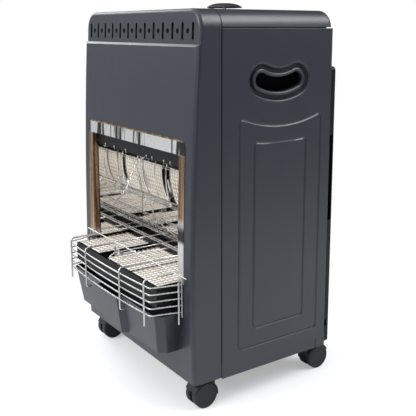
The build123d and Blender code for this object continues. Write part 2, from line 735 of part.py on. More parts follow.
def gas_manifold():
    """Square gas rail behind the burners, hung on the bulkhead."""
    s = manifold_side / 2
    x0 = burner_places["left"] - 18
    x1 = burner_places["right"] + 18
    rail = block((x0, x1), (manifold_y - s, manifold_y + s), (manifold_z - s, manifold_z + s))
    rail -= block((x0 + 2, x1 - 2), (manifold_y - s + 1.5, manifold_y + s - 1.5),
                  (manifold_z - s + 1.5, manifold_z + s - 1.5))
    for x in burner_places.values():
        rail -= bar_along_y(x, (manifold_y - s - 1, manifold_y), manifold_z, injector_radius - 1.5)
    return rail


def injectors():
    """Brass injectors, one at the mouth of each mixing tube."""
    parts = []
    for x in burner_places.values():
        y0 = manifold_y - manifold_side / 2
        hexagon = Pos(x, manifold_z) * RegularPolygon(injector_radius + 1.5, 6)
        hexagon = extrude(front_plane(y0) * hexagon, 5)
        nose = bar_along_y(x, (y0 - 12, y0 - 4), manifold_z, injector_radius - 1)
        spigot = bar_along_y(x, (y0 - 1, y0 + 1.2), manifold_z, injector_radius - 1.5 - running)
        jet = bar_along_y(x, (y0 - 13, y0 + 2), manifold_z, 0.8)
        parts.append(hexagon + nose + spigot - jet)
    return solids_of(*parts)


def supply_tube():
    """Rigid gas tube from the valve down behind the reflector to the manifold."""
    z_out = (valve_top + valve_bottom) / 2
    return bent_wire([(knob_x - 17 - seat, knob_y, z_out), (tube_x, knob_y, z_out),
                      (tube_x, manifold_y, bulkhead_top - 14),
                      (tube_x, manifold_y, manifold_z + manifold_side / 2 + 0.1)], [9, 30], 2 * tube_radius)


def pilot_burner():
    """Pilot burner between the left and middle plaques: tube, hood and bracket."""
    x = (burner_places["left"] + burner_places["middle"]) / 2
    base = burner_bottom + 7.2
    y = seam_y - plaque_front + 34
    foot = block((x - 10, x + 10), (y - 8, y + 22), (base, base + 1.2))
    post = block((x - 10, x + 10), (y + 6, y + 7.2), (base, base + 16))
    tube = bar_along_y(x, (y - 4, y + 40), base + 11, 3.2)
    hood = rod_upright(x, y - 2, base + 8, base + 22, 5) - rod_upright(x, y - 2, base + 9, base + 23, 3.8)
    hood -= block((x - 6, x + 6), (y - 12, y - 3), (base + 13, base + 18))
    return foot + post + tube + hood


def thermocouple():
    """Copper-sheathed flame sensor beside the pilot."""
    x = (burner_places["left"] + burner_places["middle"]) / 2 - 7.4
    base = burner_bottom + 7.2
    y = seam_y - plaque_front + 34
    tip = rod_upright(x, y - 2, base + 1.5, base + 27, 2.0)
    head = rod_upright(x, y - 2, base + 1.5, base + 10, 2.2)
    return tip + head


def spark_electrode():
    """Ceramic spark electrode with a bent wire tip."""
    x = (burner_places["left"] + burner_places["middle"]) / 2 + 7.6
    base = burner_bottom + 7.2
    y = seam_y - plaque_front + 34
    insulator = rod_upright(x, y - 2, base + 1.5, base + 18, 2.3)
    tip = bent_wire([(x, y - 2, base + 17.5), (x, y - 2, base + 25), (x - 4, y - 5, base + 26)], 1.5, 1.2)
    return insulator + tip


# ---- guard ------------------------------------------------------------------------------------
def hoop_front(x):
    """Depth of the hoops' centre line at a place across the bowed front."""
    return seam_y - guard_corner_front - guard_bow * (1 - (x / guard_half_front) ** 2)


def guard_hoop(z):
    """One hoop: flared sides, rounded corners and a gently bowed front."""
    half_points = [(guard_half_rear, seam_y - guard_rear), (guard_half_front, seam_y - guard_corner_front)]
    half_points += [(x, hoop_front(x)) for x in (guard_half_front * 0.62, guard_half_front * 0.21)]
    points = [(-x, y, z) for x, y in half_points] + [(x, y, z) for x, y in reversed(half_points)]
    soft = guard_half_front * 0.19 / math.tan(math.radians(1.2))
    return bent_wire(points, [7, soft * 0.8, soft, soft, soft * 0.8, 7], hoop_wire)


def guard_basket():
    """Welded wire basket: five hoops and the upright rods that bend back over the plaques."""
    wires = [guard_hoop(hoop_top - i * hoop_pitch) for i in range(hoop_count)]
    clear = hoop_wire / 2 + rod_wire / 2 + 0.05
    rear_end = seam_y + rod_end
    for place in rod_places:
        x = place
        y = hoop_front(x) - clear
        points = [(x, rear_end, grid_height), (x, y, grid_height)]
        if place < 100:
            points += [(x, y, rod_bottom), (x, y + rod_curl, rod_bottom)]
            radii = [7, 4.5]
        else:
            points += [(x, y, rod_bottom - 4)]
            radii = [7]
        rod = bent_wire(points, radii, rod_wire)
        wires += [rod, mirrored(rod)]
    side_x = guard_half_rear - (guard_half_rear - guard_half_front) * 0.11 + clear + 0.1
    side = rod_upright(side_x, seam_y - guard_rear - 6, rod_bottom - 4, hoop_top + 5, rod_wire / 2)
    wires += [side, mirrored(side)]
    return solids_of(*wires)


def guard_hanger():
    """Wires that hang the basket on the shell: a long cross wire, two rear pairs and two hooks."""
    thin = hanger_wire
    cross_z = grid_height + rod_wire / 2 + thin / 2 + 0.05
    face = seam_y - bow_reach - seat
    hook_x = guard_half_rear + hoop_wire / 2 + thin / 2 + 0.1
    end_x = hook_x + 13
    y = seam_y - guard_rear
    cross = bent_wire([(-end_x, face, cross_z), (-end_x, y, cross_z), (end_x, y, cross_z),
                       (end_x, face, cross_z)], 1.6, thin)
    hook_low = hoop_top - (hoop_count - 1) * hoop_pitch - 9
    hook = bent_wire([(hook_x, y, cross_z - thin - 0.05), (hook_x, y, hook_low), (hook_x, face, hook_low)],
                     1.6, thin)
    wires = [cross, hook, mirrored(hook)]
    reach = opening_half - reflector_sheet - 0.4 - seat
    for back in cross_wires:
        wires.append(bar_along_x((-reach, reach), seam_y + back, cross_z, thin / 2))
    for x in (-18.0, 18.0):
        front = seam_y - plaque_front - 1.0
        wires.append(bent_wire([(x, front, burner_top), (x, front, plaque_top + 6),
                                (x, front + 12, grid_height - 1),
                                (x, seam_y + rod_end, grid_height - 1)], 3, 2.0))
    return solids_of(*wires)


def centre_stay():
    """Bowed wire from the top rail down to the rear cross wires."""
    low = grid_height + rod_wire / 2 + hanger_wire + stay_wire / 2 + seat
    high = opening_top - stay_wire / 2 - 2.0
    head = (0, baffle_y + sheet + seat + stay_wire / 2, high)
    upper = (0, seam_y - stay_upper_reach, low + stay_upper_share * (high - low))
    lower = (0, seam_y - stay_lower_reach, low + stay_lower_share * (high - low))
    foot = (0, seam_y + stay_foot, low)
    return bent_wire([head, upper, lower, foot], [stay_upper_bend, stay_lower_bend], stay_wire)


# ---- controls ------------------------------------------------------------------------------------
def control_bezel():
    """Black plate on the lid around the knob and the igniter button."""
    x = knob_x - button_spacing / 2
    plan = Pos(x, knob_y) * RectangleRounded(button_spacing + 30, 36, 12)
    plate = extrude(level(overall_height) * plan, bezel_thickness)
    plate = fillet(plate.edges().group_by(Axis.Z)[-1], 0.7)
    plate -= rod_upright(knob_x, knob_y, overall_height - 1, overall_height + 5, stem_radius + 2)
    return plate - rod_upright(knob_x - button_spacing, knob_y, overall_height - 1, overall_height + 5,
                               button_radius + 0.6)


def control_knob():
    """Domed knob with a grip bar and a bore for the stem."""
    dome = rod_upright(0, 0, knob_bottom, knob_top, knob_radius)
    dome = fillet(dome.edges().group_by(Axis.Z)[-1], knob_height - 2.5)
    for i in range(12):
        angle = i * 30
        flute = rod_upright(knob_radius + 1.6, 0, knob_bottom - 1, knob_top, 2.6)
        dome -= Rot(0, 0, angle) * flute
    dome -= rod_upright(0, 0, knob_bottom - 1, knob_bottom + 5, stem_radius + running)
    return Pos(knob_x, knob_y, 0) * dome


def valve_stem():
    """Stepped stem that the knob turns."""
    shoulder_z = valve_top + 3
    foot = valve_top - 8 + seat
    thick = rod_upright(knob_x, knob_y, foot, shoulder_z, plunger_radius)
    return thick + rod_upright(knob_x, knob_y, shoulder_z, knob_bottom + 4.8, stem_radius)


def valve_plunger():
    """Sprung plunger inside the valve, pressed in by the stem."""
    return rod_upright(knob_x, knob_y, valve_bottom + 4 + press_travel, valve_top - 8, plunger_radius)


def gas_valve():
    """Die-cast valve body with a threaded neck, a side outlet and a rear inlet."""
    body = block((knob_x - 15, knob_x + 15), (knob_y - 13, knob_y + 13), (valve_bottom, valve_top))
    body = fillet(body.edges().filter_by(Axis.Z), 5)
    z_out = (valve_top + valve_bottom) / 2
    neck = rod_upright(knob_x, knob_y, valve_top - 1, valve_top + 8, 8)
    outlet = bar_along_x((knob_x - 17, knob_x - 12), knob_y, z_out, 6.5)
    inlet = bar_along_y(knob_x, (knob_y + 12, knob_y + 17), z_out, 8)
    bore = rod_upright(knob_x, knob_y, valve_bottom + 3, valve_top + 9, plunger_radius + running)
    return body + neck + outlet + inlet - bore


def valve_bracket():
    """Strap that hangs the valve under the lid: a plate round its neck and two legs with feet."""
    low = valve_top + seat
    high = overall_height - sheet - seat
    gauge = 1.5
    plate = block((knob_x - 22, knob_x + 22), (knob_y - 15, knob_y + 15), (low, low + gauge))
    plate -= rod_upright(knob_x, knob_y, low - 1, low + 3, 8.3)
    for side in (-1, 1):
        leg_x = sorted((knob_x + side * 22, knob_x + side * (22 - gauge)))
        foot_x = sorted((knob_x + side * 22, knob_x + side * 31))
        plate += block(leg_x, (knob_y - 15, knob_y + 15), (low, high))
        plate += block(foot_x, (knob_y - 15, knob_y + 15), (high - gauge, high))
    return plate


def gas_inlet_nozzle():
    """Brass hose nozzle on the back of the valve: hexagon and a smooth spigot."""
    z_out = (valve_top + valve_bottom) / 2
    y0 = knob_y + 17
    hexagon = extrude(front_plane(y0 + 8) * (Pos(knob_x, z_out) * RegularPolygon(9.5, 6)), 8)
    spigot = bar_along_y(knob_x, (y0 + 7, y0 + 8 + nozzle_length), z_out, nozzle_radius)
    bore = bar_along_y(knob_x, (y0 - 1, y0 + 40), z_out, 2.6)
    return hexagon + spigot - bore


def igniter_body():
    """Piezo igniter that hangs under the lid, with a flange below the sheet."""
    x = knob_x - button_spacing
    top = overall_height - sheet - 0.2
    body = rod_upright(x, knob_y, top - 40, top, 7.5)
    body += rod_upright(x, knob_y, top - 2, top, 11)
    body += block((x - 2.5, x + 2.5), (knob_y - 0.8, knob_y + 0.8), (top - 48, top - 39))
    return body - rod_upright(x, knob_y, top - 30, top + 1, 3.0 + running)


def igniter_button():
    """Push button of the igniter: cap and plunger."""
    x = knob_x - button_spacing
    cap_low = overall_height + button_travel - 0.4
    cap = rod_upright(x, knob_y, cap_low, button_top, button_radius)
    cap = fillet(cap.edges().group_by(Axis.Z)[-1], 1.5)
    cap -= rod_upright(x, knob_y, button_top - 0.8, button_top + 1, button_radius - 2.2)
    return cap + rod_upright(x, knob_y, overall_height - 22, cap_low + 1, 3.0)


def marker_pip():
    """Small red marker beside the button."""
    x = knob_x - button_spacing - 26
    pip = Pos(x, knob_y, overall_height) * Cylinder(2.2, 5.0, align=(Align.CENTER, Align.CENTER, Align.MIN))
    return fillet(pip.edges().group_by(Axis.Z)[-1], 1.8)


# ---- casters ----------------------------------------------------------------------------------------
def caster_plate(x, y):
    """Mounting plate with a bored boss for the swivel stem."""
    low = floor_gap - plate_thickness
    plan = Pos(x, y) * RectangleRounded(plate_side, plate_side, 6)
    plate = extrude(level(low) * plan, plate_thickness)
    plate += rod_upright(x, y, low - boss_height, low + 0.5, 10)
    return plate - rod_upright(x, y, low - boss_height - 1, floor_gap - 0.6, king_radius + 0.05)


def caster_screws():
    """Pan-head screws of the four caster plates."""
    low = floor_gap - plate_thickness
    reach = plate_side / 2 - 6
    heads = []
    for x in (-caster_x, caster_x):
        for back in (caster_front, caster_rear):
            for dx in (-reach, reach):
                for dy in (-reach, reach):
                    heads.append(rod_upright(x + dx, seam_y + back + dy, low - 1.8, low, 3.2))
    return solids_of(*heads)


def caster_hood(x, y, side):
    """Swivelling hood: web between the wheels, canopy over them and the swivel stem."""
    wheel_y = y + side * trail
    top = floor_gap - plate_thickness - boss_height - seat
    wide = web_half + wheel_side_gap + wheel_width - 1.0
    outside = wheel_radius + wheel_clearance + hood_sheet
    canopy = bar_along_x((x - wide, x + wide), wheel_y, wheel_radius, outside)
    behind = sorted((wheel_y, wheel_y - side * 2 * wheel_radius))
    ahead = sorted((wheel_y, wheel_y + side * 2 * wheel_radius))
    canopy &= (block((x - wide, x + wide), behind, (wheel_radius * 0.8, 4 * wheel_radius))
               + block((x - wide, x + wide), ahead, (wheel_radius * 1.4, 4 * wheel_radius)))
    web = bar_along_x((x - web_half, x + web_half), wheel_y, wheel_radius, wheel_radius - 4)
    boss = rod_upright(x, y, wheel_radius + 12, top, 9)
    hood = canopy + web + boss
    for s in (-1, 1):
        x0 = x + s * (web_half + 0.05)
        x1 = x + s * 2 * wide
        hood -= bar_along_x(sorted((x0, x1)), wheel_y, wheel_radius, wheel_radius + wheel_clearance)
    stem = rod_upright(x, y, top - 1, floor_gap - 1.0, king_radius)
    return hood + stem - bar_along_x((x - 20, x + 20), wheel_y, wheel_radius, axle_radius + 0.05)


def caster_axle(x, y, side):
    """Axle through the web and both wheels."""
    reach = web_half + wheel_side_gap + wheel_width - 3
    return bar_along_x((x - reach, x + reach), y + side * trail, wheel_radius, axle_radius)


def caster_wheels(x, y, side):
    """Pair of wheels with rounded treads and dished outer faces."""
    w = wheel_width
    r = wheel_radius
    profile = Polyline((axle_radius + 0.05, 0), (r - 1.5, 0), (r, 1.5), (r, w - 2), (r - 2, w), (r - 4, w),
                       (r - 4.8, w - 0.9), (0, w - 0.9), (0, w - 2.5), (axle_radius + 0.05, w - 2.5),
                       (axle_radius + 0.05, 0))
    turned = revolve(Plane.XZ * make_face(profile), Axis.Z)
    wheel_y = y + side * trail
    offset_x = web_half + wheel_side_gap
    outer = Pos(x + offset_x, wheel_y, r) * Rot(0, 90, 0) * turned
    inner = Pos(x - offset_x, wheel_y, r) * Rot(0, -90, 0) * turned
    return solids_of(outer, inner)


# ---- write every piece --------------------------------------------------------------------------------
def all_nodes():
    """Every piece of the heater by the name of its node."""
    right = side_panel_right()
    cheek = reflector_cheek()
    nodes = {
        "front_shell": front_shell(),
        "side_panel_right": right,
        "side_panel_left": mirrored(right),
        "top_cover": top_cover(),
        "base_tray": base_tray(),
        "bulkhead": bulkhead(),
        "rear_cover": rear_cover(),
        "rear_cover_studs": rear_cover_studs(),
        "opening_trim": opening_trim(),
        "reflector": reflector(),
        "reflector_cheek_right": cheek,
        "reflector_cheek_left": mirrored(cheek),
        "heat_baffle": heat_baffle(),
        "burner_housing": burner_housing(),
        "burner_tray": burner_tray(),
        "gas_manifold": gas_manifold(),
        "injectors": injectors(),
        "supply_tube": supply_tube(),
        "pilot_burner": pilot_burner(),
        "thermocouple": thermocouple(),
        "spark_electrode": spark_electrode(),
        "guard_basket": guard_basket(),
        "guard_hanger": guard_hanger(),
        "centre_stay": centre_stay(),
        "control_bezel": control_bezel(),
        "control_knob": control_knob(),
        "valve_stem": valve_stem(),
        "valve_plunger": valve_plunger(),
        "gas_valve": gas_valve(),
        "valve_bracket": valve_bracket(),
        "gas_inlet_nozzle": gas_inlet_nozzle(),
        "igniter_body": igniter_body(),
        "igniter_button": igniter_button(),
        "marker_pip": marker_pip(),
        "caster_screws": caster_screws(),
    }
    for name, x in burner_places.items():
        nodes["burner_box_" + name] = burner_box(x)
        nodes["ceramic_plaque_" + name] = ceramic_plaque(x)
        nodes["plaque_mesh_" + name] = plaque_mesh(x)
    plates = []
    for end, back, side in (("front", caster_front, -1), ("rear", caster_rear, 1)):
        for name, x in (("left", -caster_x), ("right", caster_x)):
            y = seam_y + back
            plates.append(caster_plate(x, y))
            nodes[f"caster_hood_{end}_{name}"] = caster_hood(x, y, side)
            nodes[f"caster_axle_{end}_{name}"] = caster_axle(x, y, side)
            nodes[f"caster_wheels_{end}_{name}"] = caster_wheels(x, y, side)
    nodes["caster_plates"] = solids_of(*plates)
    return nodes


os.makedirs("parts", exist_ok=True)
for node, piece in all_nodes().items():
    export_step(piece, f"parts/{node}.step")
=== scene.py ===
import json
import math

import bmesh
import bpy
from bpy.props import FloatProperty, FloatVectorProperty, PointerProperty
from bpy.types import Operator, Panel, PropertyGroup
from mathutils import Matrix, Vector


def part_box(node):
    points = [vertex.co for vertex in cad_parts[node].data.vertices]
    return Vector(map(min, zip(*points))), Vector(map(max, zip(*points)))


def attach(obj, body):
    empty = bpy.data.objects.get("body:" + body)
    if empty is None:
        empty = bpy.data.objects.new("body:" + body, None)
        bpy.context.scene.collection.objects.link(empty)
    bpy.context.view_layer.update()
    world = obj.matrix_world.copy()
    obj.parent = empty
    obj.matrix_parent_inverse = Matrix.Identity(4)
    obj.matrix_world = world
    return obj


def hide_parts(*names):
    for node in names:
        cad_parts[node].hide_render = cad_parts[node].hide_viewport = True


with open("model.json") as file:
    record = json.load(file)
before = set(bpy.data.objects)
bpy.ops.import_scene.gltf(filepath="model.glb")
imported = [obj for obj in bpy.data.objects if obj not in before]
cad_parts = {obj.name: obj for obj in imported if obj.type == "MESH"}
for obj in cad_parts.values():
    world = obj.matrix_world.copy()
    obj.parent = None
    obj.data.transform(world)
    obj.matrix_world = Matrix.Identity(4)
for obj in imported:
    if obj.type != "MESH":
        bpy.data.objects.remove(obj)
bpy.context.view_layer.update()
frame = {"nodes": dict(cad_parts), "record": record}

bl_info = {
    "name": "Cabinet Heater",
    "version": (1, 0, 0),
    "blender": (4, 5, 0),
    "location": "View3D > Sidebar > Heater",
    "description": "Finishes and small fittings of a mobile cabinet gas heater",
    "category": "Object",
}

# ---------------------------------------------------------------- measures in metres
SHELL_LOW, SHELL_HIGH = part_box("front_shell")
SHELL_SIDE, SEAM_Y, SHELL_TOP = SHELL_HIGH  # the cabinet begins at the shell's rear edge

# Front shell.
LEDGE_Z = SHELL_TOP - 0.060  # ledge under the vent band
LEDGE_Y = SEAM_Y - 0.045  # the ledge's ends slope down in front of this depth
CORNER_RADIUS = 0.008  # upright corners
CORNER_FACE = SHELL_SIDE - CORNER_RADIUS  # where a corner meets the face
CORNER_BACK = SEAM_Y - 0.03  # the corners lie in front of this depth
CORNER_COLUMNS, CORNER_ROWS = 16, 48
LID_RADIUS = 0.033  # long upper corners of the shell and the lid
LID_X, LID_Z = SHELL_SIDE - LID_RADIUS, SHELL_TOP - LID_RADIUS  # centre of the right one

# Vents: slots with a round hole between each two.
VENT_PITCH = 0.033
VENT_Z = SHELL_TOP - 0.0375
VENT_ROW_X, VENT_ROW_Z = 0.2015, 0.0165  # half length and half height of the row
SLOT_WALL = 0.0026  # a slot's walls lie within this of its middle
HOLE_WALL_X, HOLE_WALL_Z = 0.0042, 0.006  # a hole's wall lies within these of its middle
VENT_BACK = SEAM_Y - 0.02
FORWARD = -0.8  # depth of a normal that faces forward
# Black sheet behind the vents: painted shade that makes the slots read dark.
SHADE_SIZE = (0.412, 0.0008, 0.044)
SHADE_EDGE = 0.0002
SHADE_Y = SEAM_Y - 0.0365

# Side panels and their sagging hand holes.
LIP_X, LIP_TOP = SHELL_SIDE - 0.0003, LID_Z - 0.0007
HAND_Y, HAND_Z = SEAM_Y + 0.130, SHELL_TOP - 0.133
HAND_HALF, HAND_SAG = 0.041, 0.009  # the slot's middle line
# Rims: depth under the side, distance from the middle line, radius.
HAND_RIMS = ((0.0046, 0.0170, 0.0036), (0.0036, 0.0320, 0.0039))

# Burner.
MIRROR_Y = SEAM_Y + 0.056  # front of the reflector's upright foot
MIRROR_BEND = 0.325  # height at which it begins to curve forward
MIRROR_GAUGE = 0.0008
MIRROR_FLANGE = 0.009
MIRROR_STEPS = 64
CLIP_X = (-0.135, -0.095, -0.045, 0.04, 0.062, 0.105, 0.128)
CLIP_RADIUS = 0.0006
CLIP_FRONT, CLIP_BACK = -0.0012, 0.0048  # from the front of the dark strip
CLIP_FOOT, CLIP_HEAD = -0.001, 0.005  # from its lower edge

# Guard.
ROD_X = (-0.158, -0.074, 0.074, 0.158)
HOOP_TOP, HOOP_PITCH, HOOPS = 0.246, 0.013, 5
HOOP_Y, HOOP_BOW, HOOP_HALF = SEAM_Y - 0.122, 0.008, 0.172
HOOP_RADIUS = 0.0015
CROSS_WIRE_Y = (-0.066, 0.008, 0.015, 0.044, 0.051)  # from the seam
CROSS_WIRE_Z = 0.2596

# Half section of the control knob: distance from its axis and drop below its top.
KNOB_SECTION = (
    (0.0, 0.0), (0.011, -0.0002), (0.0165, -0.0008), (0.0215, -0.0019), (0.0265, -0.0036),
    (0.0305, -0.0057), (0.0325, -0.0073), (0.0325, -0.0082), (0.0305, -0.0085),
    (0.012, -0.0080), (0.005, -0.0080),
)

MERGE = 1e-6  # points nearer than this are one

# ---------------------------------------------------------------- fixed colours
# Bronze tones of the trim's painted reflection.
BRONZE_DARK, BRONZE_LIGHT = (0.17, 0.105, 0.060), (0.52, 0.340, 0.210)
# Near black of the trim's painted dark reflections.
DARK_REFLECTION = (0.012, 0.011, 0.010)
HEAT_BLOOM = (0.62, 0.55, 0.46)
HEAT_WIRE_DARK, HEAT_WIRE_LIGHT = (0.34, 0.28, 0.235), (0.52, 0.455, 0.40)
ZINC_DARK, ZINC_LIGHT = (0.46, 0.47, 0.48), (0.66, 0.67, 0.69)
CAST_ALLOY = (0.60, 0.60, 0.61)
BRASS = (0.76, 0.55, 0.24)
SIGNAL_RED = (0.45, 0.012, 0.01)
WHITE = (1.0, 1.0, 1.0, 1.0)

# ---------------------------------------------------------------- studio
# Soft boxes: name, place, aim, size, watts.
LAMPS = (
    ("front_box", (-0.5, -2.4, 1.7), (0.0, -0.1, 0.35), (1.2, 1.0), 55.0),
    ("left_box", (-2.7, -0.3, 1.95), (0.0, -0.1, 0.6), (1.2, 1.2), 26.0),
    ("top_box", (1.25, 1.2, 2.3), (0.0, 0.0, 0.5), (1.6, 1.3), 50.0),
)
# Glows of the surround: direction, where each starts and is full, strength.
GLOWS = (
    ((-0.28, -0.66, 0.70), 0.25, 0.98, 1.3),
    ((0.0, 0.0, 1.0), 0.55, 1.0, 0.7),
    ((0.62, 0.60, 0.50), 0.88, 1.0, 2.6),
    ((0.74, -0.67, 0.05), 0.95, 1.0, 4.5),
)
SURROUND_LEVEL = 0.08
SURROUND_COLOUR = (0.93, 0.965, 1.0, 1.0)
CAMERA_PLACE = (1.21367, SEAM_Y - 0.70190, 0.69474)
CAMERA_YAW, CAMERA_PITCH = 2.5301, -0.1909
CAMERA_SHIFT = (-0.0272, -0.1)


# ---------------------------------------------------------------- settings
class HeaterColours(PropertyGroup):
    """Colours of the heater's finishes."""

    cabinet: FloatVectorProperty(
        name="Cabinet", description="Powder paint of the cabinet panels",
        subtype="COLOR", size=3, min=0.0, max=1.0, default=(0.0155, 0.0185, 0.0245))
    enamel: FloatVectorProperty(
        name="Black enamel", description="Enamel of the rear cover and the burner frame",
        subtype="COLOR", size=3, min=0.0, max=1.0, default=(0.006, 0.006, 0.0065))
    ceramic: FloatVectorProperty(
        name="Ceramic", description="Burner plaques",
        subtype="COLOR", size=3, min=0.0, max=1.0, default=(0.95, 0.925, 0.87))
    steel: FloatVectorProperty(
        name="Polished steel", description="Trim, reflector and guard wires",
        subtype="COLOR", size=3, min=0.0, max=1.0, default=(0.80, 0.79, 0.77))
    plastic: FloatVectorProperty(
        name="Black plastic", description="Knob, bezel and caster hoods",
        subtype="COLOR", size=3, min=0.0, max=1.0, default=(0.008, 0.008, 0.0085))


class HeaterSizes(PropertyGroup):
    """Sizes of the small fittings and of the finishes' textures."""

    weld: FloatProperty(
        name="Weld bead", description="Radius of the spot welds where guard wires cross",
        subtype="DISTANCE", default=0.0017, min=0.0005, max=0.004)
    lip: FloatProperty(
        name="Panel lip", description="Radius of the side panels' rounded lips",
        subtype="DISTANCE", default=0.0008, min=0.0003, max=0.0015)
    # Painted shade: the dark cord in the seam stands in for the gap's shadow.
    shadow_cord: FloatProperty(
        name="Seam seal", description="Radius of the dark seal behind the front shell",
        subtype="DISTANCE", default=0.0013, min=0.0009, max=0.0018)
    vent: FloatProperty(
        name="Vent width", description="Width of the vent slots against the pressed ones",
        default=1.4, min=1.0, max=2.0)
    peel: FloatProperty(
        name="Orange peel", description="Height of the paint's fine texture",
        subtype="DISTANCE", default=0.00005, min=0.0, max=0.001)
    smooth: FloatProperty(
        name="Smoothing angle", description="Edges flatter than this are shaded smooth",
        subtype="ANGLE", default=math.radians(32), min=0.0, max=math.pi)
    plaque_pitch: FloatProperty(
        name="Plaque hole pitch", description="Distance between the holes of a ceramic plaque",
        subtype="DISTANCE", default=0.0023, min=0.001, max=0.01)


class HeaterStudio(PropertyGroup):
    """Camera and light."""

    lens: FloatProperty(
        name="Focal length", description="Focal length of the camera in millimetres",
        default=61.31, min=10.0, max=200.0)
    lamp: FloatProperty(
        name="Lamp level", description="Scale of all the lamps",
        subtype="FACTOR", default=1.0, min=0.0, max=10.0)


# ---------------------------------------------------------------- shader maths
class Signal:
    """A shader value that can be used in Python expressions."""

    def __init__(self, finish, socket):
        self.finish = finish
        self.socket = socket

    def through(self, operation, *inputs):
        """The result of a Math node on these inputs."""
        return self.finish.node("ShaderNodeMath", {"operation": operation}, inputs)

    def __add__(self, other):
        return self.through("ADD", self, other)

    __radd__ = __add__

    def __sub__(self, other):
        return self.through("SUBTRACT", self, other)

    def __rsub__(self, other):
        return self.through("SUBTRACT", other, self)

    def __mul__(self, other):
        return self.through("MULTIPLY", self, other)

    __rmul__ = __mul__

    def __truediv__(self, other):
        return self.through("DIVIDE", self, other)

    def __rtruediv__(self, other):
        return self.through("DIVIDE", other, self)

    def __abs__(self):
        return self.through("ABSOLUTE", self)

    def root(self):
        """Its square root."""
        return self.through("SQRT", self)

    def fraction(self):
        """What is left above the next lower whole number."""
        return self.through("FRACT", self)

    def or_more(self, other):
        """The larger of two values."""
        return self.through("MAXIMUM", self, other)


class Finish:
    """A material under construction on one Principled shader."""

    def __init__(self, name, constants):
        self.material = bpy.data.materials.new(name)
        self.material.use_nodes = True
        self.tree = self.material.node_tree
        self.tree.nodes.clear()
        self.output = self.tree.nodes.new("ShaderNodeOutputMaterial")
        self.shader = self.tree.nodes.new("ShaderNodeBsdfPrincipled")
        self.tree.links.new(self.shader.outputs["BSDF"], self.output.inputs["Surface"])
        for label, value in constants.items():
            self.set(label, value)
        self.place = self.node("ShaderNodeTexCoord", output="Object")

    def node(self, kind, settings=None, inputs=(), output=0):
        """Any node: its settings, then its sockets by place or by name; gives one output."""
        made = self.tree.nodes.new(kind)
        for label, value in (settings or {}).items():
            setattr(made, label, value)
        pairs = inputs.items() if isinstance(inputs, dict) else enumerate(inputs)
        for key, value in pairs:
            socket = made.inputs[key]
            if isinstance(value, Signal):
                self.tree.links.new(value.socket, socket)
            else:
                socket.default_value = value
        return Signal(self, made.outputs[output])

    def set(self, label, value):
        """A socket of the shader: a constant, or a signal that varies over the surface."""
        socket = self.shader.inputs[label]
        if isinstance(value, Signal):
            self.tree.links.new(value.socket, socket)
        elif socket.type == "RGBA":
            socket.default_value = tuple(value) + (1.0,)
        else:
            socket.default_value = value

    def noise(self, scale, detail=2.0, stretch=(1.0, 1.0, 1.0)):
        """Noise from 0 to 1 on object coordinates, scale in cycles per metre."""
        at = self.node("ShaderNodeMapping", {}, {"Vector": self.place, "Scale": stretch})
        return self.node(
            "ShaderNodeTexNoise", {}, {"Vector": at, "Scale": scale, "Detail": detail})

    def blend(self, share, low, high):
        """Colour between two colours."""
        low, high = (colour if isinstance(colour, Signal) else tuple(colour) + (1.0,)
                     for colour in (low, high))
        return self.node(
            "ShaderNodeMix", {"data_type": "RGBA"}, {0: share, 6: low, 7: high}, output=2)

    def step(self, signal, start, end):
        """Smooth step from 0 at start to 1 at end."""
        return self.node("ShaderNodeMapRange", {"interpolation_type": "SMOOTHSTEP"},
                         {"Value": signal, "From Min": start, "From Max": end})

    def axis(self, letter):
        """One object coordinate."""
        return self.node("ShaderNodeSeparateXYZ", {}, [self.place], output=letter)

    def rise(self, node):
        """Height over a CAD node, from 0 at its foot to 1 at its top."""
        low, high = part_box(node)
        return (self.axis("Z") - low.z) / (high.z - low.z)

    def bump(self, height, distance, strength):
        """Bump from a height signal."""
        self.set("Normal", self.node(
            "ShaderNodeBump", {},
            {"Height": height, "Distance": distance, "Strength": strength}, output="Normal"))


# ---------------------------------------------------------------- finishes
def shade(colour, factor):
    """A colour made darker or lighter."""
    return tuple(min(1.0, channel * factor) for channel in colour)


def powder_paint(name, colour, roughness, peel, gloss):
    """Satin powder paint: fine orange peel and slow changes of gloss and depth."""
    paint = Finish(name, {"Metallic": 0.0, "Specular IOR Level": gloss})
    cloud = paint.noise(7.0, 3.0)
    paint.set("Base Color", paint.blend(cloud, shade(colour, 0.88), shade(colour, 1.12)))
    paint.set("Roughness", roughness - 0.05 + paint.noise(30.0, 4.0) * 0.1)
    paint.bump(paint.noise(850.0, 2.0) + paint.noise(260.0, 1.0) * 0.6, peel, 0.55)
    return paint.material


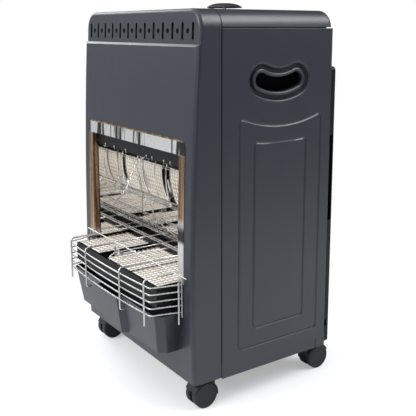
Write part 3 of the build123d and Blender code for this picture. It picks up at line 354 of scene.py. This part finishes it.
def polished_steel(name, colour):
    """Polished trim: drawing lines, and painted reflections: bronze on the uprights and along
    the rail's top edge, a lighter rail, dark patches on the rail and a dark length on the
    uprights.
    """
    metal = Finish(name, {"Metallic": 1.0})
    rise = metal.rise("opening_trim")
    rail = metal.step(rise, 0.89, 0.90)
    brow = metal.step(rise, 0.984, 0.992)

    # The painted bronze reflection reaches lower on the left upright.
    reflection_rise = rise + (1.0 - metal.step(metal.axis("X"), -0.05, 0.05)) * 0.38
    bronze_reflection = metal.step(reflection_rise, 0.40, 0.47) * (1.0 - rail) + brow
    streak = metal.noise(110.0, 1.0, (1.0, 1.0, 0.02))
    # Painted reflection: bronze streaks on the uprights and along the rail's top edge.
    bronze = metal.blend(metal.step(streak, 0.35, 0.65), BRONZE_DARK, BRONZE_LIGHT)
    # Painted highlight: the rail is a lighter copy of the steel.
    tone = metal.blend(bronze_reflection, metal.blend(rail, colour, shade(colour, 1.22)), bronze)

    # Painted reflections: dark patches along the rail, and a dark length under the bronze one.
    wide = metal.noise(19.0, 0.0, (1.0, 0.0, 0.12))
    fine = metal.noise(95.0, 0.0, (1.0, 0.0, 0.05))
    reflected_patch = metal.step(wide, 0.49, 0.53) * (1.0 - metal.step(fine, 0.58, 0.64))
    reflected_patch = (reflected_patch + metal.step(fine, 0.66, 0.70) * 0.8) * rail * (1.0 - brow)
    dark = metal.step(reflection_rise, 0.27, 0.31) * (1.0 - metal.step(reflection_rise, 0.36, 0.45))
    metal.set("Base Color", metal.blend((reflected_patch + dark) * 0.96, tone, DARK_REFLECTION))

    line = metal.noise(2400.0, 2.0, (1.0, 1.0, 0.02))
    metal.set("Roughness", 0.24 + line * 0.06)
    return metal.material


def reflector_mirror(name, colour):
    """Bright rolled sheet with the faint bloom that heat leaves low down."""
    metal = Finish(name, {"Metallic": 1.0})
    bloom = (1.0 - metal.step(metal.rise("reflector"), 0.0, 0.4)) * metal.noise(22.0, 3.0)
    metal.set("Base Color", metal.blend(bloom * 0.2, colour, HEAT_BLOOM))
    line = metal.noise(1800.0, 2.0, (0.03, 1.0, 1.0))
    metal.set("Roughness", 0.018 + line * 0.014 + bloom * 0.02)
    return metal.material


def plated_wire(name, colour):
    """Bright plated wire."""
    metal = Finish(name, {"Metallic": 1.0})
    spot = metal.noise(90.0, 3.0)
    metal.set("Base Color", metal.blend(spot, shade(colour, 0.82), colour))
    metal.set("Roughness", 0.20 + spot * 0.16)
    return metal.material


def plaque_ceramic(name, colour, pitch):
    """Off-white ceramic with rows of fine flame holes, drawn darker as painted shade and sunk
    by a bump.
    """
    tile = Finish(name, {"Metallic": 0.0})
    across = (tile.axis("X") / pitch).fraction() - 0.5
    along = (tile.axis("Y") / pitch).fraction() - 0.5
    from_centre = (across * across + along * along).root()
    hole = 1.0 - tile.step(from_centre, 0.20, 0.34)
    stain = tile.step(tile.noise(26.0, 4.0), 0.40, 0.80)
    body = tile.blend(stain * 0.3, colour, shade(colour, 0.80))
    # Painted shade: the flame holes are drawn darker than the ceramic.
    tile.set("Base Color", tile.blend(hole * 0.22, body, shade(colour, 0.30)))
    tile.set("Roughness", 0.75 + stain * 0.15)
    tile.bump((1.0 - hole) + tile.noise(900.0) * 0.15, 0.0003, 0.4)
    return tile.material


def heat_wire(name):
    """Heat-resisting wire, dulled to grey brown."""
    metal = Finish(name, {"Metallic": 0.3})
    scale = metal.noise(160.0, 3.0)
    metal.set("Base Color", metal.blend(scale, HEAT_WIRE_DARK, HEAT_WIRE_LIGHT))
    metal.set("Roughness", 0.45 + scale * 0.2)
    metal.bump(scale, 0.0001, 0.4)
    return metal.material


def galvanised(name):
    """Zinc-coated steel with its spangle."""
    metal = Finish(name, {"Metallic": 1.0})
    grain = metal.node(
        "ShaderNodeTexVoronoi", {}, {"Vector": metal.place, "Scale": 160.0}, output="Color")
    tone = metal.node("ShaderNodeSeparateColor", {}, [grain])
    metal.set("Base Color", metal.blend(tone, ZINC_DARK, ZINC_LIGHT))
    metal.set("Roughness", 0.30 + tone * 0.16)
    metal.bump(metal.noise(300.0), 0.00005, 0.4)
    return metal.material


def cast_metal(name, colour, roughness, grain):
    """Cast or turned metal with a fine grain."""
    metal = Finish(name, {"Metallic": 1.0})
    fine = metal.noise(grain, 3.0)
    metal.set("Base Color", metal.blend(fine, shade(colour, 0.78), colour))
    metal.set("Roughness", roughness + fine * 0.14)
    metal.bump(fine, 0.00008, 0.5)
    return metal.material


def moulded(name, colour, roughness, grain=900.0):
    """Moulded plastic or rubber with a fine spark-eroded grain."""
    plastic = Finish(name, {"Metallic": 0.0, "Specular IOR Level": 0.3})
    slow = plastic.noise(35.0)
    plastic.set("Base Color", plastic.blend(slow, shade(colour, 0.85), shade(colour, 1.3)))
    plastic.set("Roughness", roughness + slow * 0.12)
    plastic.bump(plastic.noise(grain), 0.00006, 0.6)
    return plastic.material


def finish_library(scene):
    """Every finish of the heater by the record's slot name."""
    colours, sizes = scene.heater_colours, scene.heater_sizes
    paint, enamel = tuple(colours.cabinet), tuple(colours.enamel)
    steel, plastic = tuple(colours.steel), tuple(colours.plastic)
    ceramic = tuple(colours.ceramic)
    return {
        "cabinet_paint": powder_paint("slate_powder_paint", paint, 0.36, sizes.peel, 0.42),
        "black_enamel": powder_paint("black_enamel", enamel, 0.42, sizes.peel, 0.14),
        "polished_steel": polished_steel("polished_trim", steel),
        "mirror_steel": reflector_mirror("reflector_sheet", shade(steel, 1.16)),
        "bright_wire": plated_wire("plated_wire", shade(steel, 0.78)),
        "mesh_steel": heat_wire("heat_wire"),
        "galvanised_steel": galvanised("galvanised_steel"),
        "cast_alloy": cast_metal("cast_alloy", CAST_ALLOY, 0.38, 500.0),
        "brass": cast_metal("brass", BRASS, 0.22, 260.0),
        "ceramic": plaque_ceramic("plaque_ceramic", ceramic, sizes.plaque_pitch),
        "black_plastic": moulded("black_plastic", plastic, 0.30),
        "wheel_rubber": moulded("wheel_tread", shade(plastic, 1.1), 0.5, 500.0),
        "red_plastic": moulded("red_plastic", SIGNAL_RED, 0.22),
    }


# ---------------------------------------------------------------- pieces
SLOTS = {entry["node"]: entry["material_slot"] for entry in frame["record"]["subparts"]}
BODIES = {node: body for body, nodes in frame["record"]["behaviour"]["bodies"].items()
          for node in nodes}
LIBRARY = {}


def finish_of(slot):
    """The finish of a slot; all are made at the first call."""
    if not LIBRARY:
        LIBRARY.update(finish_library(bpy.context.scene))
    return LIBRARY[slot]


def put_in_place(form, name, body, slot, parts=()):
    """Turns a bmesh into a piece that rides on a body and has a slot's finish."""
    mesh = bpy.data.meshes.new(name)
    form.to_mesh(mesh)
    form.free()
    piece = bpy.data.objects.new(name, mesh)
    bpy.context.scene.collection.objects.link(piece)
    mesh.materials.append(finish_of(slot))
    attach(piece, body)
    if parts:
        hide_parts(*parts)
    return piece


def close_and_face_out(form):
    """Merges doubles and turns every face outwards."""
    bmesh.ops.remove_doubles(form, verts=form.verts, dist=MERGE)
    bmesh.ops.recalc_face_normals(form, faces=form.faces)


def round_off(form):
    """Marks every face as smooth."""
    for face in form.faces:
        face.smooth = True


def even_normals(mesh, limit):
    """Shades by area: large faces lead, and slivers follow the largest face beside them."""
    alike, sliver = 0.4, 0.01
    normals = [face.normal.copy() for face in mesh.polygons]
    areas = [face.area for face in mesh.polygons]
    around = [[] for _ in mesh.vertices]
    for face in mesh.polygons:
        for corner in face.vertices:
            around[corner].append(face.index)
    least = math.cos(limit)
    shading = [None] * len(mesh.loops)
    for face in mesh.polygons:
        for place, corner in zip(face.loop_indices, face.vertices):
            main = normals[face.index]
            near = [other for other in around[corner] if normals[other].dot(main) > alike]
            if near:
                largest = max(near, key=areas.__getitem__)
                if areas[face.index] < sliver * areas[largest]:
                    main = normals[largest]
            total = Vector()
            for other in around[corner]:
                if normals[other].dot(main) > least:
                    total += normals[other] * areas[other]
            shading[place] = total.normalized() if total.length > 0.0 else main
    mesh.normals_split_custom_set(shading)


def nodes_named(*starts):
    """The CAD nodes whose names begin with one of the words."""
    return [node for node in sorted(frame["nodes"]) if node.startswith(starts)]


def bead(form, place, radius):
    """One small round bead."""
    made = bmesh.ops.create_icosphere(form, subdivisions=2, radius=radius)
    bmesh.ops.translate(form, verts=made["verts"], vec=place)


def pin(form, start, end, radius):
    """One short round pin between two points."""
    start, end = Vector(start), Vector(end)
    along = end - start
    made = bmesh.ops.create_cone(form, cap_ends=True, segments=16, radius1=radius,
                                 radius2=radius, depth=along.length)
    turn = along.to_track_quat("Z", "Y").to_matrix()
    bmesh.ops.rotate(form, verts=made["verts"], matrix=turn)
    bmesh.ops.translate(form, verts=made["verts"], vec=(start + end) / 2.0)


def wire(form, path, radius, rounding, ring):
    """A round wire along a path, closed into a ring or capped at its ends."""
    curve = bpy.data.curves.new("wire", "CURVE")
    curve.dimensions = "3D"
    curve.bevel_depth = radius
    curve.bevel_resolution = rounding
    curve.use_fill_caps = not ring
    spline = curve.splines.new("POLY")
    spline.points.add(len(path) - 1)
    for point, place in zip(spline.points, path):
        point.co = (*place, 1.0)
    spline.use_cyclic_u = ring
    holder = bpy.data.objects.new("wire", curve)
    mesh = bpy.data.meshes.new_from_object(holder)
    form.from_mesh(mesh)
    bpy.data.meshes.remove(mesh)
    bpy.data.objects.remove(holder)
    bpy.data.curves.remove(curve)


# ---------------------------------------------------------------- front shell
def height_line(points, z):
    """Depth at a height along a line of points, straight between and beyond them."""
    heights = sorted(points)
    place = max(1, min(len(heights) - 1, sum(height < z for height in heights)))
    low, high = heights[place - 1], heights[place]
    share = (z - low) / (high - low)
    return points[low] + share * (points[high] - points[low])


def open_vents(form):
    """Draws the walls of the vent slots and holes apart, so that they read as open."""
    slot_share = bpy.context.scene.heater_sizes.vent
    hole_share = 1.0 + (slot_share - 1.0) * 0.5
    holes = {}
    for corner in form.verts:
        x, y, z = corner.co
        if abs(z - VENT_Z) > VENT_ROW_Z or abs(x) > VENT_ROW_X or y > VENT_BACK:
            continue
        slot = round(x / VENT_PITCH) * VENT_PITCH
        hole = (math.floor(x / VENT_PITCH) + 0.5) * VENT_PITCH
        if abs(x - slot) < SLOT_WALL:
            corner.co.x = slot + (x - slot) * slot_share
        elif abs(x - hole) < HOLE_WALL_X and abs(z - VENT_Z) < HOLE_WALL_Z:
            front = any(face.normal.y < FORWARD for face in corner.link_faces)
            holes.setdefault((hole, front), []).append(corner)
    for ring in holes.values():
        centre = sum((corner.co for corner in ring), Vector()) / len(ring)
        for corner in ring:
            corner.co = centre + (corner.co - centre) * hole_share


def corner_lines(form, side):
    """Edges of the face and of the side as depth by height, and the faces between them."""
    near, sliver, side_area = 2e-5, 1e-6, 2e-4
    under_ledge, round_under_ledge = LEDGE_Z - 0.003, LEDGE_Z - 0.01
    face_line, side_line, between = {}, {}, []
    for face in form.faces:
        normal, area = face.normal, face.calc_area()
        places = [(side * corner.co.x, corner.co.y, corner.co.z) for corner in face.verts]
        forward = normal.y < -0.9 and abs(normal.z) < 0.3
        if forward and area > sliver:
            face_line.update({z: y for x, y, z in places
                              if abs(x - CORNER_FACE) < near and z < under_ledge})
        sideways = side * normal.x > 0.99
        if sideways and area > side_area:
            side_line.update({z: y for x, y, z in places if y < CORNER_BACK})
        innermost = min(x for x, y, z in places)
        outward = (side * normal.x > 0.02 or normal.y < -0.02) and normal.z < 0.5
        if (outward and CORNER_FACE - near < innermost < SHELL_SIDE - near
                and max(y for x, y, z in places) < CORNER_BACK
                and min(z for x, y, z in places) < round_under_ledge):
            between.append(face)
    return face_line, side_line, between


def corner_strip(form, side, face_line, side_line):
    """An even quarter-round strip between the edges of the face and of the side."""
    def depth(z, turn):
        back = height_line(side_line, z)
        return back - (back - height_line(face_line, z)) * math.cos(turn)

    made = bmesh.ops.create_grid(
        form, x_segments=CORNER_COLUMNS, y_segments=CORNER_ROWS, size=0.5)
    for corner in made["verts"]:
        turn = math.radians(90.0) * (corner.co.x + 0.5)
        top = LEDGE_Z - max(0.0, LEDGE_Y - depth(LEDGE_Z, turn))
        z = SHELL_LOW.z + (top - SHELL_LOW.z) * (corner.co.y + 0.5)
        x = side * (CORNER_FACE + CORNER_RADIUS * math.sin(turn))
        corner.co = (x, depth(z, turn), z)
    outwards = Vector((side, -1.0, 0.0))
    for face in {face for corner in made["verts"] for face in corner.link_faces}:
        face.normal_update()
        if face.normal.dot(outwards) < 0.0:
            face.normal_flip()


def even_corners(form):
    """Rebuilds the front shell's upright corners as even strips, where both edges are found."""
    for side in (-1, 1):
        face_line, side_line, between = corner_lines(form, side)
        if min(len(face_line), len(side_line)) > 1:
            bmesh.ops.delete(form, geom=between, context="FACES")
            corner_strip(form, side, face_line, side_line)


def smooth_skin(node):
    """A merged, smooth-shaded copy of a CAD node that stands in its place."""
    form = bmesh.new()
    form.from_mesh(frame["nodes"][node].data)
    bmesh.ops.remove_doubles(form, verts=form.verts, dist=2.0 * MERGE)
    if node == "front_shell":
        open_vents(form)
        even_corners(form)
    limit = bpy.context.scene.heater_sizes.smooth
    round_off(form)
    for edge in form.edges:
        edge.smooth = len(edge.link_faces) == 2 and edge.calc_face_angle(0.0) < limit
    piece = put_in_place(form, node + "_skin", BODIES[node], SLOTS[node], [node])
    even_normals(piece.data, limit)


# ---------------------------------------------------------------- cabinet fittings
def panel_lips():
    """Rounded lips of the side panels along their front and top edges."""
    radius = bpy.context.scene.heater_sizes.lip
    inset, end = 0.0004, 0.002
    form = bmesh.new()
    for name in ("side_panel_left", "side_panel_right"):
        low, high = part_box(name)
        x = math.copysign(LIP_X, high.x)
        front = low.y + inset
        pin(form, (x, front, low.z + end), (x, front, LIP_TOP), radius)
        pin(form, (x, front, LIP_TOP), (x, high.y - end, LIP_TOP), radius)
        bead(form, (x, front, LIP_TOP), radius)
    put_in_place(form, "panel_lips", BODIES["side_panel_left"], SLOTS["side_panel_left"])


def hand_path(reach):
    """Closed path at a distance from the sagging middle line of a hand hole."""
    arc_steps, end_steps = 24, 16
    bend = (HAND_HALF * HAND_HALF + HAND_SAG * HAND_SAG) / (2.0 * HAND_SAG)
    sweep = math.asin(HAND_HALF / bend)
    sine, cosine = math.sin(sweep), math.cos(sweep)
    path = []
    for side in (1, -1):
        radius = bend + side * reach
        for step in range(arc_steps + 1):
            turn = side * sweep * (2.0 * step / arc_steps - 1.0)
            path.append((radius * math.sin(turn), bend - radius * math.cos(turn)))
        start = math.atan2(-side * cosine, sine)
        for step in range(1, end_steps):
            turn = start + math.pi * step / end_steps
            path.append((side * bend * sine + reach * math.cos(turn),
                         bend - bend * cosine + reach * math.sin(turn)))
    return path


def hand_rims():
    """Rolled rims of the hand holes: the lip round the hole and the soft edge of its dish."""
    form = bmesh.new()
    for side in (-1, 1):
        for depth, reach, radius in HAND_RIMS:
            x = side * (SHELL_SIDE - depth)
            path = [(x, HAND_Y + y, HAND_Z + z) for y, z in hand_path(reach)]
            wire(form, path, radius, rounding=4, ring=True)
    close_and_face_out(form)
    round_off(form)
    put_in_place(form, "hand_rims", BODIES["side_panel_left"], SLOTS["side_panel_left"])


def seam_shadow_line():
    """Dark cord in the seam between the front shell and the cabinet behind it: painted shade
    for the gap's shadow.
    """
    steps, sunk, gap, end = 16, 0.0008, 0.0006, 0.0005
    radius = LID_RADIUS - sunk
    half = [(LID_X + radius, SHELL_LOW.z + end)]
    for step in range(steps + 1):
        turn = math.radians(90.0) * step / steps
        half.append((LID_X + radius * math.cos(turn), LID_Z + radius * math.sin(turn)))
    outline = half + [(-x, z) for x, z in reversed(half)]
    form = bmesh.new()
    wire(form, [(x, SEAM_Y + gap, z) for x, z in outline],
         bpy.context.scene.heater_sizes.shadow_cord, rounding=3, ring=False)
    close_and_face_out(form)
    put_in_place(form, "seam_shadow_line", BODIES["front_shell"], "black_enamel")


def vent_shadow_sheet():
    """Black sheet behind the vents, put there as painted shade so that the slots read dark."""
    form = bmesh.new()
    made = bmesh.ops.create_cube(form, size=1.0)
    bmesh.ops.scale(form, verts=made["verts"], vec=SHADE_SIZE)
    bmesh.ops.translate(form, verts=made["verts"], vec=(0.0, SHADE_Y, VENT_Z))
    bmesh.ops.bevel(form, geom=form.edges[:], offset=SHADE_EDGE, affect="EDGES", segments=2,
                    profile=0.5, material=-1)
    put_in_place(form, "vent_shadow_sheet", BODIES["front_shell"], "black_enamel")


# ---------------------------------------------------------------- burner fittings
def mirror_sheet():
    """The reflector as one even sheet: upright at its foot, then curving to its brow."""
    low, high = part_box("reflector")
    reach, rise = MIRROR_Y - low.y, high.z - MIRROR_BEND
    radius = (reach * reach + rise * rise) / (2.0 * reach)
    whole = math.asin(rise / radius)
    foot = low.z + MIRROR_GAUGE
    front, back = [(MIRROR_Y, foot)], [(MIRROR_Y + MIRROR_GAUGE, foot)]
    for step in range(MIRROR_STEPS + 1):
        turn = whole * step / MIRROR_STEPS
        y = MIRROR_Y - radius + radius * math.cos(turn)
        z = MIRROR_BEND + radius * math.sin(turn)
        front.append((y, z))
        back.append((y + MIRROR_GAUGE * math.cos(turn),
                     min(high.z, z + MIRROR_GAUGE * math.sin(turn))))
    rear = MIRROR_Y + MIRROR_FLANGE
    outline = front + back[::-1] + [(rear, foot), (rear, low.z), (MIRROR_Y, low.z)]
    form = bmesh.new()
    end = form.faces.new([form.verts.new((low.x, y, z)) for y, z in outline])
    made = bmesh.ops.extrude_face_region(form, geom=[end])
    moved = [part for part in made["geom"] if isinstance(part, bmesh.types.BMVert)]
    bmesh.ops.translate(form, verts=moved, vec=(high.x - low.x, 0.0, 0.0))
    bmesh.ops.recalc_face_normals(form, faces=form.faces)
    round_off(form)
    piece = put_in_place(
        form, "mirror_sheet", BODIES["reflector"], SLOTS["reflector"], ["reflector"])
    even_normals(piece.data, math.radians(20.0))


def baffle_clips():
    """Bright wire clips hooked over the dark strip at the head of the mirror."""
    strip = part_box("heat_baffle")[0]
    front, back = strip.y + CLIP_FRONT, strip.y + CLIP_BACK
    foot, head = strip.z + CLIP_FOOT, strip.z + CLIP_HEAD
    form = bmesh.new()
    for x in CLIP_X:
        pin(form, (x, front, foot), (x, front, head), CLIP_RADIUS)
        pin(form, (x, front, foot), (x, back, foot), CLIP_RADIUS)
        bead(form, (x, front, head), 2.5 * CLIP_RADIUS)
    put_in_place(form, "baffle_clips", BODIES["heat_baffle"], "bright_wire")


# ---------------------------------------------------------------- guard and knob
def hoop_depth(x):
    """Depth of the hoops' centre line across the front of the guard."""
    return HOOP_Y - HOOP_BOW * (1.0 - (x / HOOP_HALF) ** 2)


def weld_beads():
    """Spot welds where the rods of the guard cross its hoops and the cross wires."""
    radius = bpy.context.scene.heater_sizes.weld
    form = bmesh.new()
    for x in ROD_X:
        for hoop in range(HOOPS):
            front = hoop_depth(x) - HOOP_RADIUS
            bead(form, (x, front, HOOP_TOP - HOOP_PITCH * hoop), radius)
        for back in CROSS_WIRE_Y:
            bead(form, (x, SEAM_Y + back, CROSS_WIRE_Z), radius * 0.8)
    put_in_place(form, "guard_welds", BODIES["guard_basket"], "bright_wire")


def wide_knob():
    """The control knob with its broad low skirt, turned about the valve's axis."""
    low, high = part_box("control_knob")
    middle = (low + high) / 2.0
    form = bmesh.new()
    line = [form.verts.new((reach, 0.0, high.z + drop)) for reach, drop in KNOB_SECTION]
    edges = [form.edges.new(pair) for pair in zip(line, line[1:])]
    bmesh.ops.spin(form, geom=line + edges, cent=(0.0, 0.0, 0.0), axis=(0.0, 0.0, 1.0),
                   angle=2.0 * math.pi, steps=96, use_merge=True)
    bmesh.ops.remove_doubles(form, verts=form.verts, dist=MERGE)
    rim = [edge for edge in form.edges if edge.is_boundary]
    bmesh.ops.holes_fill(form, edges=rim, sides=0)
    bmesh.ops.recalc_face_normals(form, faces=form.faces)
    bmesh.ops.translate(form, verts=form.verts, vec=(middle.x, middle.y, 0.0))
    round_off(form)
    piece = put_in_place(
        form, "wide_knob", BODIES["control_knob"], SLOTS["control_knob"], ["control_knob"])
    even_normals(piece.data, math.radians(35.0))


# ---------------------------------------------------------------- operators
class HeaterOperator:
    """What the heater's operators share."""

    bl_options = {"REGISTER", "UNDO"}

    def skin(self, *starts):
        """Skins every CAD node whose name begins with one of the words."""
        found = nodes_named(*starts)
        if not found:
            raise RuntimeError(f"no node is named {starts}")
        for node in found:
            smooth_skin(node)


class HEATER_OT_cabinet(HeaterOperator, Operator):
    """Painted cabinet with its lips and rims, and painted shade: a dark cord in the seam and a
    black sheet behind the vents.
    """

    bl_idname = "heater.cabinet"
    bl_label = "Cabinet"

    def execute(self, context):
        self.skin("front_shell", "side_panel", "top_cover", "base_tray", "bulkhead")
        panel_lips()
        hand_rims()
        seam_shadow_line()
        vent_shadow_sheet()
        return {"FINISHED"}


class HEATER_OT_rear_cover(HeaterOperator, Operator):
    """Lift-off rear cover with its studs."""

    bl_idname = "heater.rear_cover"
    bl_label = "Rear cover"

    def execute(self, context):
        self.skin("rear_cover")
        return {"FINISHED"}


class HEATER_OT_burner(HeaterOperator, Operator):
    """Burner: trim, reflector, housing, plaques, gas rail and pilot."""

    bl_idname = "heater.burner"
    bl_label = "Burner"

    def execute(self, context):
        self.skin("opening_trim", "reflector_cheek", "heat_baffle", "burner", "ceramic_plaque",
                  "gas_manifold", "injectors", "supply_tube", "pilot_burner", "thermocouple",
                  "spark_electrode")
        mirror_sheet()
        baffle_clips()
        for node in nodes_named("plaque_mesh"):
            materials = frame["nodes"][node].data.materials
            materials.clear()
            materials.append(finish_of(SLOTS[node]))
        return {"FINISHED"}


class HEATER_OT_guard(HeaterOperator, Operator):
    """Wire guard with its welds, its hanger and the centre stay."""

    bl_idname = "heater.guard"
    bl_label = "Wire guard"

    def execute(self, context):
        self.skin("guard_", "centre_stay")
        weld_beads()
        return {"FINISHED"}


class HEATER_OT_controls(HeaterOperator, Operator):
    """Knob, igniter, valve and their fittings."""

    bl_idname = "heater.controls"
    bl_label = "Controls"

    def execute(self, context):
        wide_knob()
        self.skin("control_bezel", "valve_", "gas_valve", "gas_inlet", "igniter_", "marker_pip")
        return {"FINISHED"}


class HEATER_OT_casters(HeaterOperator, Operator):
    """Four twin-wheel casters."""

    bl_idname = "heater.casters"
    bl_label = "Casters"

    def execute(self, context):
        self.skin("caster_")
        return {"FINISHED"}


# ---------------------------------------------------------------- stage
def soft_lamp(name, place, aim, size, watts):
    """A rectangular soft box that faces a point."""
    lamp = bpy.data.lights.new(name, "AREA")
    lamp.shape = "RECTANGLE"
    lamp.size, lamp.size_y = size
    lamp.energy = watts * bpy.context.scene.heater_studio.lamp
    holder = bpy.data.objects.new(name, lamp)
    holder.location = place
    holder.rotation_euler = (Vector(aim) - Vector(place)).to_track_quat("-Z", "Y").to_euler()
    bpy.context.scene.collection.objects.link(holder)


def floor_finish():
    """Pale floor: shaded close to the heater, white further out, and dim in reflections."""
    look = Finish("pale_floor", {"Base Color": (0.88, 0.88, 0.88), "Roughness": 0.7})
    away = (abs(look.axis("X")) - 0.20).or_more(abs(look.axis("Y")) - 0.18)
    white = 0.35 + look.step(away, 0.0, 0.40) * 0.65
    seen = look.node("ShaderNodeLightPath", output="Is Camera Ray")
    glow = look.node("ShaderNodeEmission", {}, {"Color": WHITE, "Strength": 1.0})
    gloss = look.node("ShaderNodeLightPath", output="Is Glossy Ray")
    front = look.step(look.axis("Y") * -1.0, 0.27, 0.62)
    right = look.step(look.axis("X"), 0.7, 1.8)
    dim = 0.1 + front * 0.5 + right * 0.6
    dull = look.node(
        "ShaderNodeEmission", {}, {"Color": (0.5, 0.52, 0.55, 1.0), "Strength": 0.25})
    plain = Signal(look, look.shader.outputs["BSDF"])
    ground = look.node("ShaderNodeMixShader", {}, [gloss * dim, plain, dull])
    surface = look.node("ShaderNodeMixShader", {}, [seen * white, ground, glow])
    look.tree.links.new(surface.socket, look.output.inputs["Surface"])
    return look.material


def pale_floor():
    """Wide plain floor."""
    ground = bmesh.new()
    bmesh.ops.create_grid(ground, x_segments=1, y_segments=1, size=30.0)
    mesh = bpy.data.meshes.new("floor")
    ground.to_mesh(mesh)
    ground.free()
    mesh.materials.append(floor_finish())
    floor = bpy.data.objects.new("floor", mesh)
    bpy.context.scene.collection.objects.link(floor)


class Surround(Finish):
    """The world's shader, built like a finish."""

    def __init__(self, world):
        world.use_nodes = True
        self.tree = world.node_tree
        self.tree.nodes.clear()
        self.output = self.tree.nodes.new("ShaderNodeOutputWorld")
        self.place = self.node("ShaderNodeTexCoord", output="Generated")


def studio_world():
    """White to the camera; to the heater a dim studio with a few broad glows."""
    world = bpy.data.worlds.new("studio")
    bpy.context.scene.world = world
    sky = Surround(world)
    level = SURROUND_LEVEL
    for direction, start, full, strength in GLOWS:
        toward = sky.node("ShaderNodeVectorMath", {"operation": "DOT_PRODUCT"},
                          [sky.place, direction], output="Value")
        level = level + sky.step(toward, start, full) * strength
    lit = sky.node("ShaderNodeBackground", {}, {"Color": SURROUND_COLOUR, "Strength": level})
    plain = sky.node("ShaderNodeBackground", {}, {"Color": WHITE, "Strength": 1.0})
    seen = sky.node("ShaderNodeLightPath", output="Is Camera Ray")
    shown = sky.node("ShaderNodeMixShader", {}, [seen, lit, plain])
    sky.tree.links.new(shown.socket, sky.output.inputs["Surface"])


def studio_camera():
    """Camera at the front right, a little below the lid's height."""
    data = bpy.data.cameras.new("camera")
    data.lens = bpy.context.scene.heater_studio.lens
    data.sensor_width = 36.0
    data.shift_x, data.shift_y = CAMERA_SHIFT
    camera = bpy.data.objects.new("camera", data)
    camera.location = CAMERA_PLACE
    level = math.cos(CAMERA_PITCH)
    ahead = Vector((math.cos(CAMERA_YAW) * level, math.sin(CAMERA_YAW) * level,
                    math.sin(CAMERA_PITCH)))
    camera.rotation_euler = ahead.to_track_quat("-Z", "Y").to_euler()
    bpy.context.scene.collection.objects.link(camera)
    bpy.context.scene.camera = camera


class HEATER_OT_stage(HeaterOperator, Operator):
    """Floor, studio light and camera."""

    bl_idname = "heater.stage"
    bl_label = "Stage"

    def execute(self, context):
        context.scene.view_settings.view_transform = "Standard"
        pale_floor()
        studio_world()
        for lamp in LAMPS:
            soft_lamp(*lamp)
        studio_camera()
        return {"FINISHED"}


# ---------------------------------------------------------------- add-on
class HEATER_PT_panel(Panel):
    """The heater's settings and its pieces, in the order in which they are made."""

    bl_idname = "HEATER_PT_panel"
    bl_label = "Cabinet heater"
    bl_space_type = "VIEW_3D"
    bl_region_type = "UI"
    bl_category = "Heater"

    def draw(self, context):
        layout = self.layout
        for group, kind in GROUPS.items():
            settings = getattr(context.scene, group)
            box = layout.box()
            for label in kind.__annotations__:
                box.prop(settings, label)
        for operator in OPERATORS:
            layout.operator(operator.bl_idname)


GROUPS = {
    "heater_colours": HeaterColours,
    "heater_sizes": HeaterSizes,
    "heater_studio": HeaterStudio,
}
OPERATORS = (
    HEATER_OT_stage,
    HEATER_OT_cabinet,
    HEATER_OT_rear_cover,
    HEATER_OT_burner,
    HEATER_OT_guard,
    HEATER_OT_controls,
    HEATER_OT_casters,
)
CLASSES = (*GROUPS.values(), *OPERATORS, HEATER_PT_panel)


def register():
    for entry in CLASSES:
        bpy.utils.register_class(entry)
    for group, kind in GROUPS.items():
        setattr(bpy.types.Scene, group, PointerProperty(type=kind))


def unregister():
    for group in GROUPS:
        delattr(bpy.types.Scene, group)
    for entry in reversed(CLASSES):
        bpy.utils.unregister_class(entry)


def main():
    """Makes the whole heater."""
    register()
    bpy.ops.heater.stage()
    bpy.ops.heater.cabinet()
    bpy.ops.heater.rear_cover()
    bpy.ops.heater.burner()
    bpy.ops.heater.guard()
    bpy.ops.heater.controls()
    bpy.ops.heater.casters()
    bpy.context.view_layer.update()


if __name__ == "__main__":
    main()
